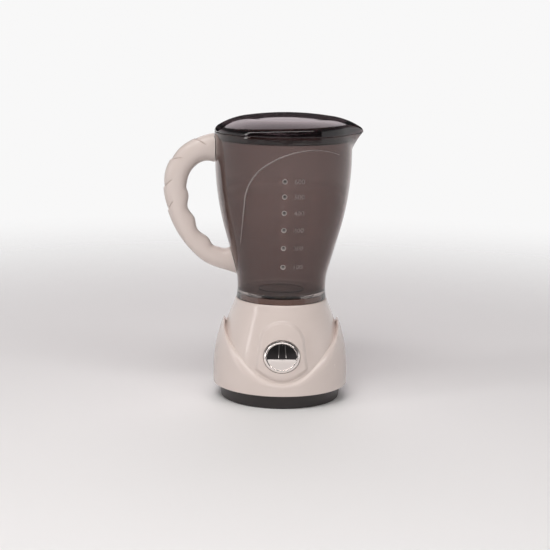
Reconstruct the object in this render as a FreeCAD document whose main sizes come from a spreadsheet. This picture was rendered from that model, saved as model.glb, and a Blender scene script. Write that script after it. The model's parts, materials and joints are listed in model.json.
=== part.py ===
"""Toy blender: a hollow base with a motor, a lift-off jug with a lid, and one push button.

Millimetres. The origin is on the base's axis at the level of its standing rim, +Z is up,
the button faces -Y, the handle is at -X and the pouring spout at +X.
"""
import FreeCAD, Part
import math
import os

import Sketcher

Vector = FreeCAD.Vector
Rotation = FreeCAD.Rotation
Placement = FreeCAD.Placement
UP = Vector(0, 0, 1)

# Driving dimensions: name, value, what it is.
DIMENSIONS = [
    ("seat_gap", 0.1, "gap between flat faces that rest on each other"),
    ("part_gap", 0.3, "gap between curved faces of neighbouring pieces"),
    ("shaft_gap", 0.05, "radial running clearance of a shaft"),
    # base plate
    ("rim_set", 1.5, "how far the plate's standing rim is inside its wall"),
    ("rim_width", 1.6, "radial width of the standing rim"),
    ("rim_height", 1.2, "height of the standing rim"),
    ("plate_thickness", 2.5, "thickness of the bottom plate's floor"),
    ("plate_set", 4.7, "how far the plate's wall is inside the apron"),
    ("plate_wall", 2.0, "thickness of the plate's upright wall"),
    ("flange_thickness", 2.0, "thickness of the flange inside the housing"),
    ("flange_step", 2.3, "how far the flange stands out from the plate's wall"),
    # housing
    ("housing_bottom", 11.0, "height of the housing's lower edge"),
    ("housing_top", 77.0, "height of the shoulder that carries the jug"),
    ("housing_wall", 2.0, "wall thickness of the housing"),
    ("apron_step", 2.7, "how far the apron stands out of the housing's inner cone"),
    ("core_widest", 14.0, "height where the inner cone is widest"),
    ("core_neck_radius", 36.3, "radius of the inner cone at its neck"),
    ("core_neck", 4.3, "depth of the inner cone's neck under the shoulder"),
    ("shoulder_radius", 35.0, "radius of the shoulder that carries the jug"),
    ("apron_radius", 51.7, "largest radius of the apron"),
    ("apron_widest", 21.0, "height where the apron starts to draw in"),
    ("apron_draw", 7.5, "how far the apron draws in up to its tips"),
    ("scoop_low", 17.4, "height of the lowest point of the round scoop that leaves the apron's edge"),
    ("tip_drop", 0.6, "how far the apron's two side tips are under the scoop's axis"),
    ("ridge_foot", 3.0, "width of the ramp inside the apron's edge at its lowest point"),
    ("ridge_side", 4.5, "width of that ramp at its widest places"),
    ("ridge_tip", 1.6, "width of that ramp at its ends"),
    ("boss_radius", 31.5, "radius of the boss that centres the jug"),
    ("boss_height", 4.0, "height of the boss above the shoulder"),
    ("well_radius", 12.5, "radius of the coupling well in the boss"),
    ("well_floor", 6.4, "depth of the well's floor under the shoulder"),
    # raised arch round the button
    ("arch_radius", 17.6, "radius of the arch's round top"),
    ("arch_centre", 49.0, "height of the centre of the arch's round top"),
    ("arch_foot_width", 20.2, "half width of the arch near its foot"),
    ("arch_foot", 30.5, "height where the arch's sides end"),
    ("arch_bottom", 22.6, "height of the arch's lowest point"),
    ("arch_set", 0.9, "how far the arch's face is inside the apron at its foot"),
    ("arch_front_height", 18.0, "height where the arch's face is upright"),
    ("arch_lean", 10.6, "how far the arch's face leans in up to its top"),
    ("arch_top", 66.0, "height where the arch's face reaches its top radius"),
    # button and switch
    ("button_tilt", 12.0, "degrees that the button looks up"),
    ("button_height", 41.0, "height of the button's centre"),
    ("button_wide", 13.6, "half width of the button"),
    ("button_tall", 12.1, "half height of the button"),
    ("button_gap", 0.3, "gap round the button"),
    ("button_proud", 0.7, "how far the button's rim stands out of its seat"),
    ("button_crown", 2.0, "height of the button's crown above its rim"),
    ("button_skirt", 1.4, "thickness of the button's skirt"),
    ("button_face", 1.8, "thickness of the button's face"),
    ("button_travel", 2.5, "travel of the button"),
    ("guide_depth", 7.5, "depth of the button's guide sleeve"),
    ("guide_wall", 1.5, "wall of the button's guide sleeve"),
    ("stop_flange", 1.2, "thickness of the flange that keeps the button in"),
    ("stop_step", 1.2, "how far that flange stands out of the button's skirt"),
    ("plunger_radius", 1.7, "radius of the switch plunger"),
    ("plunger_length", 7.0, "length of the switch plunger"),
    ("plunger_depth", 11.0, "depth of the plunger's tip behind the button's seat"),
    ("switch_side", 8.5, "side of the square switch"),
    ("switch_length", 8.2, "length of the switch"),
    ("switch_depth", 15.0, "depth of the switch's front behind the button's seat"),
    ("board_thickness", 1.6, "thickness of the switch board"),
    ("board_wide", 42.0, "length of the switch board"),
    ("board_tall", 12.0, "height of the switch board"),
    ("board_post_place", 18.3, "distance of the board's posts from the button's axis"),
    ("board_post_radius", 2.6, "radius of the board's posts"),
    # gear frame and drive
    ("frame_level", 27.0, "depth of the gear frame's underside under the shoulder"),
    ("frame_thickness", 2.0, "thickness of the gear frame"),
    ("frame_post_place", 21.5, "distance of the frame's posts from both planes"),
    ("frame_post_radius", 3.2, "radius of the frame's posts"),
    ("frame_corner", 4.5, "radius of the gear frame's corners"),
    ("tooth_module", 0.8, "pitch diameter over number of teeth"),
    ("gear_teeth", 48, "teeth of the drive gear"),
    ("pinion_teeth", 12, "teeth of the motor pinion"),
    ("gear_thickness", 4.0, "thickness of the drive gear's rim"),
    ("gear_level", 2.0, "height of the drive gear's underside above the gear frame"),
    ("gear_hub_radius", 5.0, "radius of the drive gear's hub"),
    ("shaft_radius", 2.0, "radius of the drive spindle and of the agitator's shaft"),
    ("bearing_radius", 4.5, "radius of the bearing boss under the frame"),
    ("bearing_depth", 6.0, "length of the bearing boss under the frame"),
    ("bush_radius", 4.0, "outer radius of the bushes"),
    ("bush_flange_radius", 6.0, "radius of the bushes' flanges"),
    ("bush_flange", 0.8, "thickness of the spindle bush's flange"),
    ("bush_length", 4.0, "length of the spindle bush below its flange"),
    ("dog_radius", 10.0, "radius of the two coupling halves"),
    ("dog_inner", 5.0, "inner radius of the coupling lugs"),
    ("dog_angle", 25.0, "half angle of a coupling lug in degrees"),
    ("dog_count", 3, "lugs of each coupling half"),
    ("dog_hub", 2.6, "thickness of the lower coupling's disc"),
    ("dog_lug", 3.6, "height of the coupling lugs"),
    ("dog_play", 0.3, "axial play between the two coupling halves"),
    ("motor_radius", 10.0, "radius of the motor's round sides"),
    ("motor_flat", 7.5, "half width of the motor across its flats"),
    ("motor_length", 22.0, "length of the motor's can"),
    ("motor_cap_length", 3.0, "length of the motor's end cap"),
    ("motor_shaft_radius", 1.0, "radius of the motor's shaft"),
    ("motor_boss_radius", 3.0, "radius of the motor's front boss"),
    ("motor_boss", 1.5, "height of the motor's front boss"),
    ("motor_collar_wall", 1.6, "wall of the frame's collar round the motor"),
    ("motor_collar_depth", 12.0, "depth of the frame's collar round the motor"),
    # battery bay
    ("cell_radius", 7.1, "radius of a cell"),
    ("cell_length", 49.5, "length of a cell without its nub"),
    ("cell_nub", 1.0, "height of a cell's nub"),
    ("cell_nub_radius", 2.7, "radius of a cell's nub"),
    ("bay_play", 0.3, "play round the cells"),
    ("bay_wall", 1.5, "wall of the battery bay"),
    ("bay_end_room", 2.6, "room for a contact at each end of the bay"),
    ("contact_thickness", 0.5, "thickness of a contact plate"),
    ("cover_thickness", 1.6, "thickness of the battery cover"),
    ("cover_ledge", 3.0, "width of the ledge that carries the battery cover"),
    ("cover_tab_length", 8.0, "length of the cover's tab with the screw"),
    # screws
    ("screw_radius", 1.1, "radius of a screw's shank"),
    ("screw_head_radius", 2.3, "radius of a screw's head"),
    ("screw_head", 1.6, "height of a screw's head"),
    ("screw_length", 7.0, "length of a screw's shank"),
    ("screw_slot", 0.6, "width of the cross recess"),
    ("screw_gap", 0.05, "clearance round a screw"),
    ("case_screw_set", 6.2, "how far the case screws are inside the plate's wall"),
    ("case_boss_radius", 3.4, "radius of the bosses for the case screws"),
    ("case_boss_bite", 1.8, "how deep the tops of the case bosses reach into the cone's wall"),
    # jug: its heights, and the handle's, are given from the shoulder
    ("jug_wall", 1.8, "wall thickness of the jug"),
    ("jug_foot_radius", 34.5, "outer radius of the jug's lower edge"),
    ("collar_radius", 33.8, "outer radius of the jug's collar"),
    ("collar_bottom", 6.0, "height where the jug's lower edge meets the collar"),
    ("collar_top", 10.5, "height where the collar starts to flare"),
    ("flare_radius", 35.4, "outer radius at the end of the flare"),
    ("flare_top", 22.5, "height of the end of the flare"),
    ("cone_radius", 44.6, "outer radius at the end of the straight cone"),
    ("cone_top", 55.0, "height of the end of the straight cone"),
    ("body_radius", 52.0, "largest outer radius of the jug"),
    ("body_widest", 110.0, "height where the jug's side is upright"),
    ("band_bottom", 122.5, "height of the lower edge of the rim band"),
    ("band_step", 0.6, "how far the rim band stands out"),
    ("jug_top", 127.8, "height of the jug's upper edge"),
    ("floor_top", 6.7, "height of the jug's floor"),
    ("floor_thickness", 2.4, "thickness of the jug's floor"),
    ("spout_start", 112.0, "height where the spout begins, hidden in the wall"),
    ("spout_middle", 120.0, "height of the spout's middle section"),
    ("spout_middle_out", 2.4, "how far the spout's tip stands out half way up"),
    ("spout_out", 7.6, "how far the spout's tip stands out at the rim"),
    ("spout_tip_radius", 10.0, "radius of the spout's tip in plan"),
    ("spout_sink", 1.0, "how deep the spout's flanks start inside the jug's wall"),
    ("rib_width", 1.2, "width of the thin rib across the jug's front"),
    ("rib_proud", 0.5, "how far the rib stands out"),
    ("dot_radius", 2.1, "radius of the raised scale dots"),
    ("dot_sink", 0.8, "how deep a scale dot is sunk into the wall"),
    ("dot_bottom", 30.0, "height of the lowest scale dot"),
    ("dot_first_step", 15.0, "distance between the two lowest scale dots"),
    ("dot_step_loss", 0.9, "by how much each next distance is smaller"),
    # agitator
    ("agitator_radius", 15.5, "radius of the agitator disc"),
    ("agitator_thickness", 1.1, "thickness of the agitator disc"),
    ("agitator_recess", 1.2, "depth of its recess in the floor"),
    ("upper_dog_disc", 1.1, "thickness of the upper coupling's disc"),
    # lid
    ("lid_band", 3.9, "height of the lid's edge band"),
    ("lid_wall", 1.8, "wall thickness of the lid"),
    ("lid_apex", 14.0, "height of the lid's crown above the jug's upper edge"),
    ("crown_place", 4.0, "offset of the crown towards the spout"),
    ("crown_break", 35.0, "radius where the crown's curve tightens"),
    ("crown_break_drop", 2.8, "drop of the crown at that radius"),
    ("lid_edge", 2.2, "height of the lid's edge where the crown meets it"),
    ("crown_shoulder", 50.0, "radius of the crown's outer curve"),
    ("plug_depth", 6.0, "depth of the lid's plug ring"),
    ("plug_gap", 0.4, "gap between the plug ring and the jug"),
    # handle
    ("handle_depth", 7.0, "half depth of the handle"),
    ("handle_half", 9.0, "half thickness of the handle in its plane"),
    ("handle_top_out", 1.5, "how far the upper bend's centre is outside the jug's side"),
    ("handle_bend_z", 86.3, "height of the centres of both bends"),
    ("handle_top_bend", 28.6, "radius of the upper bend's middle line"),
    ("handle_low_bend", 66.4, "radius of the lower bend's middle line"),
    ("handle_low_turn", 48.0, "degrees of the lower bend"),
    ("handle_low_rise", 50.0, "degrees by which the lower end flattens"),
    ("handle_top_run", 9.0, "length of the upper end inside the bend"),
    ("handle_swell", 4.0, "growth of the half thickness at the upper end"),
    ("handle_thin", 1.5, "loss of the half thickness towards the lower end"),
    ("handle_flare", 4.2, "growth of the half thickness where the lower end meets the jug"),
    ("grip_wave", 1.0, "height of the finger waves"),
    ("grip_pitch", 21.0, "length of a finger wave"),
    ("grip_first", 9.5, "first finger wave, from the end of the upper bend"),
    ("grip_fade", 8.0, "length over which the finger waves fade in and out"),
    ("lug_half", 1.5, "half thickness of the jug's handle lugs"),
    ("lug_reach", 9.0, "reach of the lugs into the handle"),
    ("upper_lug_low", 107.0, "height of the upper lug's lower edge"),
    ("upper_lug_high", 120.5, "height of the upper lug's upper edge"),
    ("lower_lug_low", 24.0, "height of the lower lug's lower edge"),
    ("lower_lug_high", 33.0, "height of the lower lug's upper edge"),
    ("handle_screw_sink", 2.5, "depth of the handle screws' heads"),
]


class Size:
    """A number in millimetres together with the sheet expression that gives it."""

    def __init__(self, value, text):
        self.value = value
        self.text = text

    def __float__(self):
        return float(self.value)

    def __neg__(self):
        return Size(-self.value, f"(-{self.text})")

    def __add__(self, other):
        return combined(self, "+", other, float(self) + float(other))

    def __radd__(self, other):
        return combined(other, "+", self, float(self) + float(other))

    def __sub__(self, other):
        return combined(self, "-", other, float(self) - float(other))

    def __rsub__(self, other):
        return combined(other, "-", self, float(other) - float(self))

    def __mul__(self, other):
        return combined(self, "*", other, float(self) * float(other))

    def __rmul__(self, other):
        return combined(other, "*", self, float(self) * float(other))

    def __truediv__(self, other):
        return combined(self, "/", other, float(self) / float(other))

    def __rtruediv__(self, other):
        return combined(other, "/", self, float(other) / float(self))


def text_of(number):
    return number.text if isinstance(number, Size) else repr(float(number))


def combined(left, sign, right, value):
    return Size(value, f"({text_of(left)} {sign} {text_of(right)})")


def sine(degrees):
    return Size(math.sin(math.radians(float(degrees))), f"sin({text_of(degrees)} * 1deg)")


def cosine(degrees):
    return Size(math.cos(math.radians(float(degrees))), f"cos({text_of(degrees)} * 1deg)")


def root(number):
    return Size(math.sqrt(float(number)), f"sqrt({text_of(number)})")


def arc_radius(across, along):
    """Radius of an arc that leaves a straight line and is off it by across after along."""
    return (across * across + along * along) / (2 * across)


doc = FreeCAD.newDocument("ToyBlender")


def make_sheet():
    """Write the driving dimensions into the spreadsheet and return them as sizes."""
    sheet = doc.addObject("Spreadsheet::Sheet", "Sizes")
    sizes = {}
    for row, (name, value, note) in enumerate(DIMENSIONS, start=1):
        sheet.set(f"A{row}", name)
        sheet.set(f"B{row}", str(value))
        sheet.setAlias(f"B{row}", name)
        sheet.set(f"C{row}", note)
        sizes[name] = Size(value, f"Sizes.{name}")
    doc.recompute()
    return sizes


S = make_sheet()
NODES = []


def set_levels():
    """Turn the heights that the table gives from another level into heights above the floor."""
    shoulder = S["housing_top"]
    for name in ("core_neck", "well_floor", "frame_level"):
        S[name] = shoulder - S[name]
    for name in ("collar_bottom", "collar_top", "flare_top", "cone_top", "body_widest",
                 "band_bottom", "jug_top", "floor_top", "spout_start", "spout_middle",
                 "dot_bottom", "handle_bend_z", "upper_lug_low", "upper_lug_high",
                 "lower_lug_low", "lower_lug_high"):
        S[name] = shoulder + S[name]
    S["gear_level"] = S["frame_level"] + S["frame_thickness"] + S["gear_level"]
    S["lid_apex"] = S["jug_top"] + S["lid_apex"]


set_levels()


# ---------------------------------------------------------------- sketches and features

def bind(item, path, size):
    """Tie a property or constraint to the sheet, if its size comes from there."""
    if isinstance(size, Size):
        item.setExpression(path, size.text)


def new_body(label):
    body = doc.addObject("PartDesign::Body", label)
    body.Label = label
    return body


def sketch_on(body, role, name, offset=0.0):
    """A sketch on one of the body's origin planes, moved along the plane's normal."""
    sketch = body.newObject("Sketcher::SketchObject", name)
    plane = next(item for item in body.Origin.OriginFeatures if item.Role == role)
    sketch.AttachmentSupport = [(plane, "")]
    sketch.MapMode = "FlatFace"
    sketch.AttachmentOffset = Placement(Vector(0, 0, float(offset)), Rotation())
    bind(sketch, "AttachmentOffset.Base.z", offset)
    return sketch


def fix_point(sketch, geometry, position, x, y):
    for kind, size in (("DistanceX", x), ("DistanceY", y)):
        index = sketch.addConstraint(Sketcher.Constraint(kind, geometry, position, float(size)))
        bind(sketch, f"Constraints[{index}]", size)


def arc_between(start, end, radius):
    """An arc from start to end; a positive radius turns left, a negative one right."""
    half = (end - start) * 0.5
    side = Vector(-half.y, half.x, 0).normalize() * math.copysign(1, radius)
    rise = math.sqrt(max(radius * radius - half.Length ** 2, 0))
    centre = start + half + side * rise
    first, last = (start, end) if radius > 0 else (end, start)
    angles = [math.atan2(point.y - centre.y, point.x - centre.x) for point in (first, last)]
    circle = Part.Circle(centre, UP, abs(radius))
    return Part.ArcOfCircle(circle, angles[0], angles[1])


def draw(sketch, points):
    """Draw a closed outline of points (x, y), or (x, y, radius) where an arc leads to it."""
    ends = [Vector(float(point[0]), float(point[1]), 0) for point in points]
    pieces = []
    for index, point in enumerate(points):
        start, end = ends[index - 1], ends[index]
        if len(point) == 2:
            number = sketch.addGeometry(Part.LineSegment(start, end))
            pieces.append((number, 1, 2))
            continue
        radius = float(point[2])
        number = sketch.addGeometry(arc_between(start, end, radius))
        pieces.append((number, 1, 2) if radius > 0 else (number, 2, 1))
        size = point[2] if radius > 0 else -point[2]
        held = sketch.addConstraint(Sketcher.Constraint("Radius", number, abs(radius)))
        bind(sketch, f"Constraints[{held}]", size)
    for index, (number, _, last) in enumerate(pieces):
        following, first, _ = pieces[(index + 1) % len(pieces)]
        sketch.addConstraint(Sketcher.Constraint("Coincident", number, last, following, first))
        fix_point(sketch, number, last, points[index][0], points[index][1])


def draw_circle(sketch, x, y, radius):
    centre = Vector(float(x), float(y), 0)
    number = sketch.addGeometry(Part.Circle(centre, UP, float(radius)))
    fix_point(sketch, number, 3, x, y)
    held = sketch.addConstraint(Sketcher.Constraint("Radius", number, float(radius)))
    bind(sketch, f"Constraints[{held}]", radius)


def draw_box(sketch, left, right, low, high):
    draw(sketch, [(left, low), (right, low), (right, high), (left, high)])


def draw_ellipse(sketch, wide, tall):
    """An ellipse about the sketch's origin, given by its half width and half height."""
    right, top = Vector(float(wide), 0, 0), Vector(0, float(tall), 0)
    number = sketch.addGeometry(Part.Ellipse(right, top, Vector(0, 0, 0)))
    sketch.exposeInternalGeometry(number)
    sketch.addConstraint(Sketcher.Constraint("Horizontal", number + 1))
    for line, half in ((number + 1, wide), (number + 2, tall)):
        held = sketch.addConstraint(Sketcher.Constraint("Distance", line, 2 * float(half)))
        bind(sketch, f"Constraints[{held}]", 2 * half)
    fix_point(sketch, number, 3, 0.0, 0.0)


def add_feature(body, kind, name, sketch, **settings):
    feature = body.newObject("PartDesign::" + kind, name)
    feature.Profile = sketch
    for key, value in settings.items():
        setattr(feature, key, float(value) if isinstance(value, Size) else value)
        bind(feature, key, value)
    return feature


def turn(body, name, points, kind="Revolution"):
    """Revolve an outline of (radius, height) points about the body's Z axis."""
    sketch = sketch_on(body, "XZ_Plane", name + "_profile")
    draw(sketch, points)
    return add_feature(body, kind, name, sketch, ReferenceAxis=(sketch, ["V_Axis"]), Angle=360.0)


def groove(body, name, points):
    return turn(body, name, points, kind="Groove")


def pad(body, name, bottom, height, paint):
    """Raise what paint draws from the level bottom by height."""
    sketch = sketch_on(body, "XY_Plane", name + "_outline", bottom)
    paint(sketch)
    return add_feature(body, "Pad", name, sketch, Length=height)


def pocket(body, name, top, depth, paint):
    """Sink what paint draws from the level top downwards."""
    sketch = sketch_on(body, "XY_Plane", name + "_outline", top)
    paint(sketch)
    return add_feature(body, "Pocket", name, sketch, Length=depth)


def polar(body, name, feature, count):
    pattern = body.newObject("PartDesign::PolarPattern", name)
    pattern.Originals = [feature]
    pattern.Axis = (feature.Profile[0], ["N_Axis"])
    pattern.Angle = 360.0
    pattern.Occurrences = int(float(count))
    bind(pattern, "Occurrences", count)
    body.Tip = pattern
    return pattern


def at(item, x=0.0, y=0.0, z=0.0, axis=UP, angle=0.0):
    """Place an object, with its place and turn tied to the sheet."""
    place = Vector(float(x), float(y), float(z))
    item.Placement = Placement(place, Rotation(axis, float(angle)))
    for path, size in (("Base.x", x), ("Base.y", y), ("Base.z", z), ("Rotation.Angle", angle)):
        bind(item, ".Placement." + path, size)
    return item


def at_button(item, across=0.0, depth=0.0):
    """Place an object in the button's own frame: Z along its axis, outwards."""
    tilt = S["button_tilt"]
    y = -arch_at(S["button_height"]) + depth * cosine(tilt)
    z = S["button_height"] - depth * sine(tilt)
    return at(item, across, y, z, Vector(1, 0, 0), 90 - tilt)


def node(item, label):
    """Keep an object as a sub-part: its label names its file."""
    item.Label = label
    NODES.append(item)
    return item


def joined(kind, name, items):
    """A boolean of document objects: MultiFuse or MultiCommon of all, or a Compound."""
    result = doc.addObject("Part::" + kind, name)
    if kind == "Compound":
        result.Links = items
    else:
        result.Shapes = items
    return result


def cut(name, base, tool):
    result = doc.addObject("Part::Cut", name)
    result.Base = base
    result.Tool = tool
    return result


# ---------------------------------------------------------------- shared outlines

def core_radius():
    """Largest radius of the housing's inner cone."""
    return S["apron_radius"] - S["apron_step"]


def apron_tip_radius():
    """Radius of the apron at the level of its tips, and of the scoop that leaves them."""
    return S["apron_radius"] - S["apron_draw"]


def scoop_height():
    """Height of the scoop's axis."""
    return S["scoop_low"] + apron_tip_radius()


def apron_tip():
    """Height of the apron's two side tips."""
    return scoop_height() - S["tip_drop"]


def plate_radius():
    """Outer radius at the top of the base plate's wall."""
    return S["apron_radius"] - S["plate_set"]


def rim_radius():
    """Outer radius of the rim that the toy stands on."""
    return plate_radius() - S["rim_set"]


def band_radius():
    """Outer radius of the jug's rim band and of the lid."""
    return S["body_radius"] + S["band_step"]


def spout_reach():
    return S["body_radius"] + S["spout_out"]


def core_arc_radius():
    """Radius of the long curve of the housing's inner cone."""
    return arc_radius(core_radius() - S["core_neck_radius"], S["core_neck"] - S["core_widest"])


def core_at(height):
    """Outer radius of the inner cone at a height above its widest level."""
    bend = core_arc_radius()
    rise = height - S["core_widest"]
    return core_radius() - bend + root(bend * bend - rise * rise)


def apron_arc_radius():
    return arc_radius(S["apron_draw"], apron_tip() - S["apron_widest"])


def apron_at(height):
    """Outer radius of the apron at a height, before the scoop is cut."""
    if float(height) < float(S["apron_widest"]):
        return S["apron_radius"]
    bend = apron_arc_radius()
    rise = height - S["apron_widest"]
    return S["apron_radius"] - bend + root(bend * bend - rise * rise)


def arch_arc_radius():
    return arc_radius(S["arch_lean"], S["arch_top"] - S["arch_front_height"])


def arch_at(height):
    """Radius of the arch's face at a height."""
    bend = arch_arc_radius()
    rise = height - S["arch_front_height"]
    return S["apron_radius"] - S["arch_set"] - bend + root(bend * bend - rise * rise)


def cone_slope():
    return (S["cone_radius"] - S["flare_radius"]) / (S["cone_top"] - S["flare_top"])


def jug_arc_radius():
    return arc_radius(S["body_radius"] - S["cone_radius"], S["body_widest"] - S["cone_top"])


def jug_at(height):
    """Outer radius of the jug at a height between its flare and its band."""
    if float(height) < float(S["cone_top"]):
        return S["flare_radius"] + (height - S["flare_top"]) * cone_slope()
    bend = jug_arc_radius()
    rise = S["body_widest"] - height
    return S["body_radius"] - bend + root(bend * bend - rise * rise)


def jug_side(inset, low, high):
    """The jug's side from its collar up to a level, moved in by inset, as (radius, height) points."""
    flare = arc_radius(S["flare_radius"] - S["collar_radius"], S["flare_top"] - S["collar_top"])
    return [
        (S["collar_radius"] - inset, low),
        (S["collar_radius"] - inset, S["collar_top"]),
        (S["flare_radius"] - inset, S["flare_top"], -flare),
        (S["cone_radius"] - inset, S["cone_top"]),
        (S["body_radius"] - inset, S["body_widest"], jug_arc_radius()),
        (S["body_radius"] - inset, high),
    ]


def tip_tangent(wide, reach, tip):
    """Where the straight flank of a pointed outline touches its round edge and its tip."""
    centre = reach - tip
    lean = (wide - tip) / centre
    across = root(1 - lean * lean)
    return (wide * lean, wide * across), (centre + tip * lean, tip * across)


def draw_pointed(sketch, wide, reach, tip):
    """A round outline drawn out to a rounded point at +X."""
    (edge_x, edge_y), (tip_x, tip_y) = tip_tangent(wide, reach, tip)
    draw(sketch, [
        (-wide, 0.0, wide),
        (edge_x, -edge_y, wide),
        (tip_x, -tip_y),
        (reach, 0.0, tip),
        (tip_x, tip_y, tip),
        (edge_x, edge_y),
    ])


def close_with_arc(points, radius):
    """Let an arc of this radius lead back to the outline's first point."""
    first = points[0]
    return [(first[0], first[1], radius)] + points[1:]


# ---------------------------------------------------------------- base housing

def make_housing():
    """The moulded cone with its scooped apron, raised arch, button sleeve and posts."""
    shell = new_body("housing_shell")
    wall = S["housing_wall"]
    inner = plate_radius() + S["flange_step"] + S["part_gap"]
    over_flange = S["housing_bottom"] + S["flange_thickness"] + S["part_gap"]
    core_bend = core_arc_radius()
    mid = core_at(apron_tip()) - wall / 2
    turn(shell, "apron", [
        (inner, S["housing_bottom"]),
        (S["apron_radius"], S["housing_bottom"]),
        (S["apron_radius"], S["apron_widest"]),
        (apron_tip_radius(), apron_tip(), apron_arc_radius()),
        (mid, apron_tip()),
        (core_radius() - wall / 2, S["core_widest"], -(core_bend - wall / 2)),
        (inner - 1, over_flange),
        (inner, over_flange),
    ])
    scoop = sketch_on(shell, "XZ_Plane", "scoop_outline", S["apron_radius"] + wall)
    draw_circle(scoop, 0.0, scoop_height(), apron_tip_radius())
    add_feature(shell, "Pocket", "scoop", scoop, Length=2 * (S["apron_radius"] + wall))
    boss_top = S["housing_top"] + S["boss_height"]
    neck_in = S["core_neck_radius"] - wall
    turn(shell, "core", [
        (core_radius() - wall, over_flange),
        (core_radius(), over_flange),
        (core_radius(), S["core_widest"]),
        (S["core_neck_radius"], S["core_neck"], core_bend),
        (S["shoulder_radius"], S["housing_top"] - 1),
        (S["shoulder_radius"] - 0.6, S["housing_top"]),
        (S["boss_radius"], S["housing_top"]),
        (S["boss_radius"], boss_top - 0.5),
        (S["boss_radius"] - 0.5, boss_top),
        (S["well_radius"], boss_top),
        (S["well_radius"], S["well_floor"]),
        (S["bush_radius"] + S["screw_gap"], S["well_floor"]),
        (S["bush_radius"] + S["screw_gap"], S["well_floor"] - wall),
        (S["well_radius"] + wall, S["well_floor"] - wall),
        (S["well_radius"] + wall, boss_top - wall),
        (S["boss_radius"] - wall, boss_top - wall),
        (S["boss_radius"] - wall, S["core_neck"]),
        (neck_in, S["core_neck"]),
        (core_radius() - wall, S["core_widest"], -core_bend),
    ])
    return shell


def make_arch():
    """The raised arch that carries the button, trimmed to the cone within the wall."""
    ring = new_body("arch_ring")
    wall = S["housing_wall"]
    turn(ring, "arch_ring_solid", close_with_arc([
        (core_at(S["arch_front_height"]) - wall / 2, S["arch_front_height"]),
        (arch_at(S["arch_front_height"]), S["arch_front_height"]),
        (arch_at(S["arch_top"]), S["arch_top"], arch_arc_radius()),
        (core_at(S["arch_top"]) - wall / 2, S["arch_top"]),
    ], -core_arc_radius()))
    prism = new_body("arch_prism")
    outline = sketch_on(prism, "XZ_Plane", "arch_outline", arch_at(S["arch_top"]) / 2)
    side, foot = S["arch_foot_width"], S["arch_foot"]
    drop = foot - S["arch_bottom"]
    draw(outline, [
        (-side, foot),
        (side, foot, arc_radius(drop, side)),
        (S["arch_radius"], S["arch_centre"]),
        (0.0, S["arch_centre"] + S["arch_radius"], S["arch_radius"]),
        (-S["arch_radius"], S["arch_centre"], S["arch_radius"]),
    ])
    add_feature(prism, "Pad", "arch_block", outline, Length=S["apron_radius"])
    return joined("MultiCommon", "button_arch", [ring, prism])


def depth_on(radius_at, reach, turned):
    """Depth before the middle plane of a round skin, at a reach from the scoop's axis."""
    x = reach * math.sin(turned)
    skin = float(radius_at(float(scoop_height()) - reach * math.cos(turned)))
    return math.sqrt(max(skin * skin - x * x, 0.0))


def ramp_width(turned):
    """Width of the ramp: from its foot to its widest place, then down to its tip."""
    share = abs(turned) / math.radians(50)
    if share < 1:
        start, end, way = S["ridge_foot"], S["ridge_side"], share
    else:
        start, end, way = S["ridge_side"], S["ridge_tip"], (share - 1) / 0.64
    smooth = (1 - math.cos(math.pi * min(way, 1.0))) / 2
    return float(start) + (float(end) - float(start)) * smooth


def make_ramps():
    """The ramp that softens the apron's edge: wedges lofted round the scoop, front and rear."""
    sections = []
    edge = float(apron_tip_radius())
    sink, steps = float(S["housing_wall"]) / 2, 16
    for step in range(steps + 1):
        turned = math.radians(82) * (2 * step / steps - 1)
        inner, outer = edge - ramp_width(turned), edge + sink / 4
        high = depth_on(apron_at, outer, turned) - sink / 8
        low = depth_on(core_at, inner, turned)
        under = max(depth_on(core_at, outer + sink / 2, turned) - sink, 0.0)
        wedge = [(outer, high), (outer + sink / 2, high - sink), (outer + sink / 2, under),
                 (inner - sink / 8, low - sink), (inner - sink / 8, low - sink / 16)]
        ring = doc.addObject("Part::Polygon", f"ramp_section_{step}")
        ring.Nodes = [Vector(reach * math.sin(turned), -depth,
                             float(scoop_height()) - reach * math.cos(turned))
                      for reach, depth in wedge]
        ring.Close = True
        sections.append(ring)
    front = doc.addObject("Part::Loft", "front_ramp")
    front.Sections = sections
    front.Solid = True
    rear = doc.addObject("Part::Mirroring", "rear_ramp")
    rear.Source = front
    rear.Normal = Vector(0, 1, 0)
    return [front, rear]


def make_button_sleeve():
    """The oval sleeve behind the button and the two posts of the switch board."""
    sleeve = at_button(new_body("button_sleeve"))
    wide = S["button_wide"] + S["button_gap"] + S["guide_wall"]
    tall = S["button_tall"] + S["button_gap"] + S["guide_wall"]
    start = S["housing_wall"] * 2
    pad(sleeve, "sleeve", -S["guide_depth"], S["guide_depth"] - start,
        lambda sketch: draw_ellipse(sketch, wide, tall))
    posts = []
    for side, name in ((-1, "left"), (1, "right")):
        post = at_button(new_body(f"board_post_{name}"), side * S["board_post_place"])
        back = -S["switch_depth"] - S["switch_length"]
        pad(post, f"post_{name}", back, -back - S["guide_depth"] + S["housing_wall"] / 2,
            lambda sketch: draw_circle(sketch, 0.0, 0.0, S["board_post_radius"]))
        pilot = sketch_on(post, "XY_Plane", f"pilot_{name}", back)
        draw_circle(pilot, 0.0, 0.0, S["screw_radius"] + S["screw_gap"])
        add_feature(post, "Pocket", f"pilot_hole_{name}", pilot, Length=S["screw_length"],
                    Reversed=True)
        posts.append(post)
    return [sleeve] + posts


def post_body(name, x, y, bottom, top, radius):
    """An upright round post with a pilot hole in its lower end."""
    post = at(new_body(name), x, y)
    pad(post, name + "_post", bottom, top - bottom,
        lambda sketch: draw_circle(sketch, 0.0, 0.0, radius))
    pilot = sketch_on(post, "XY_Plane", name + "_pilot", bottom)
    draw_circle(pilot, 0.0, 0.0, S["screw_radius"] + S["screw_gap"])
    add_feature(post, "Pocket", name + "_hole", pilot, Length=S["screw_length"], Reversed=True)
    return post


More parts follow.
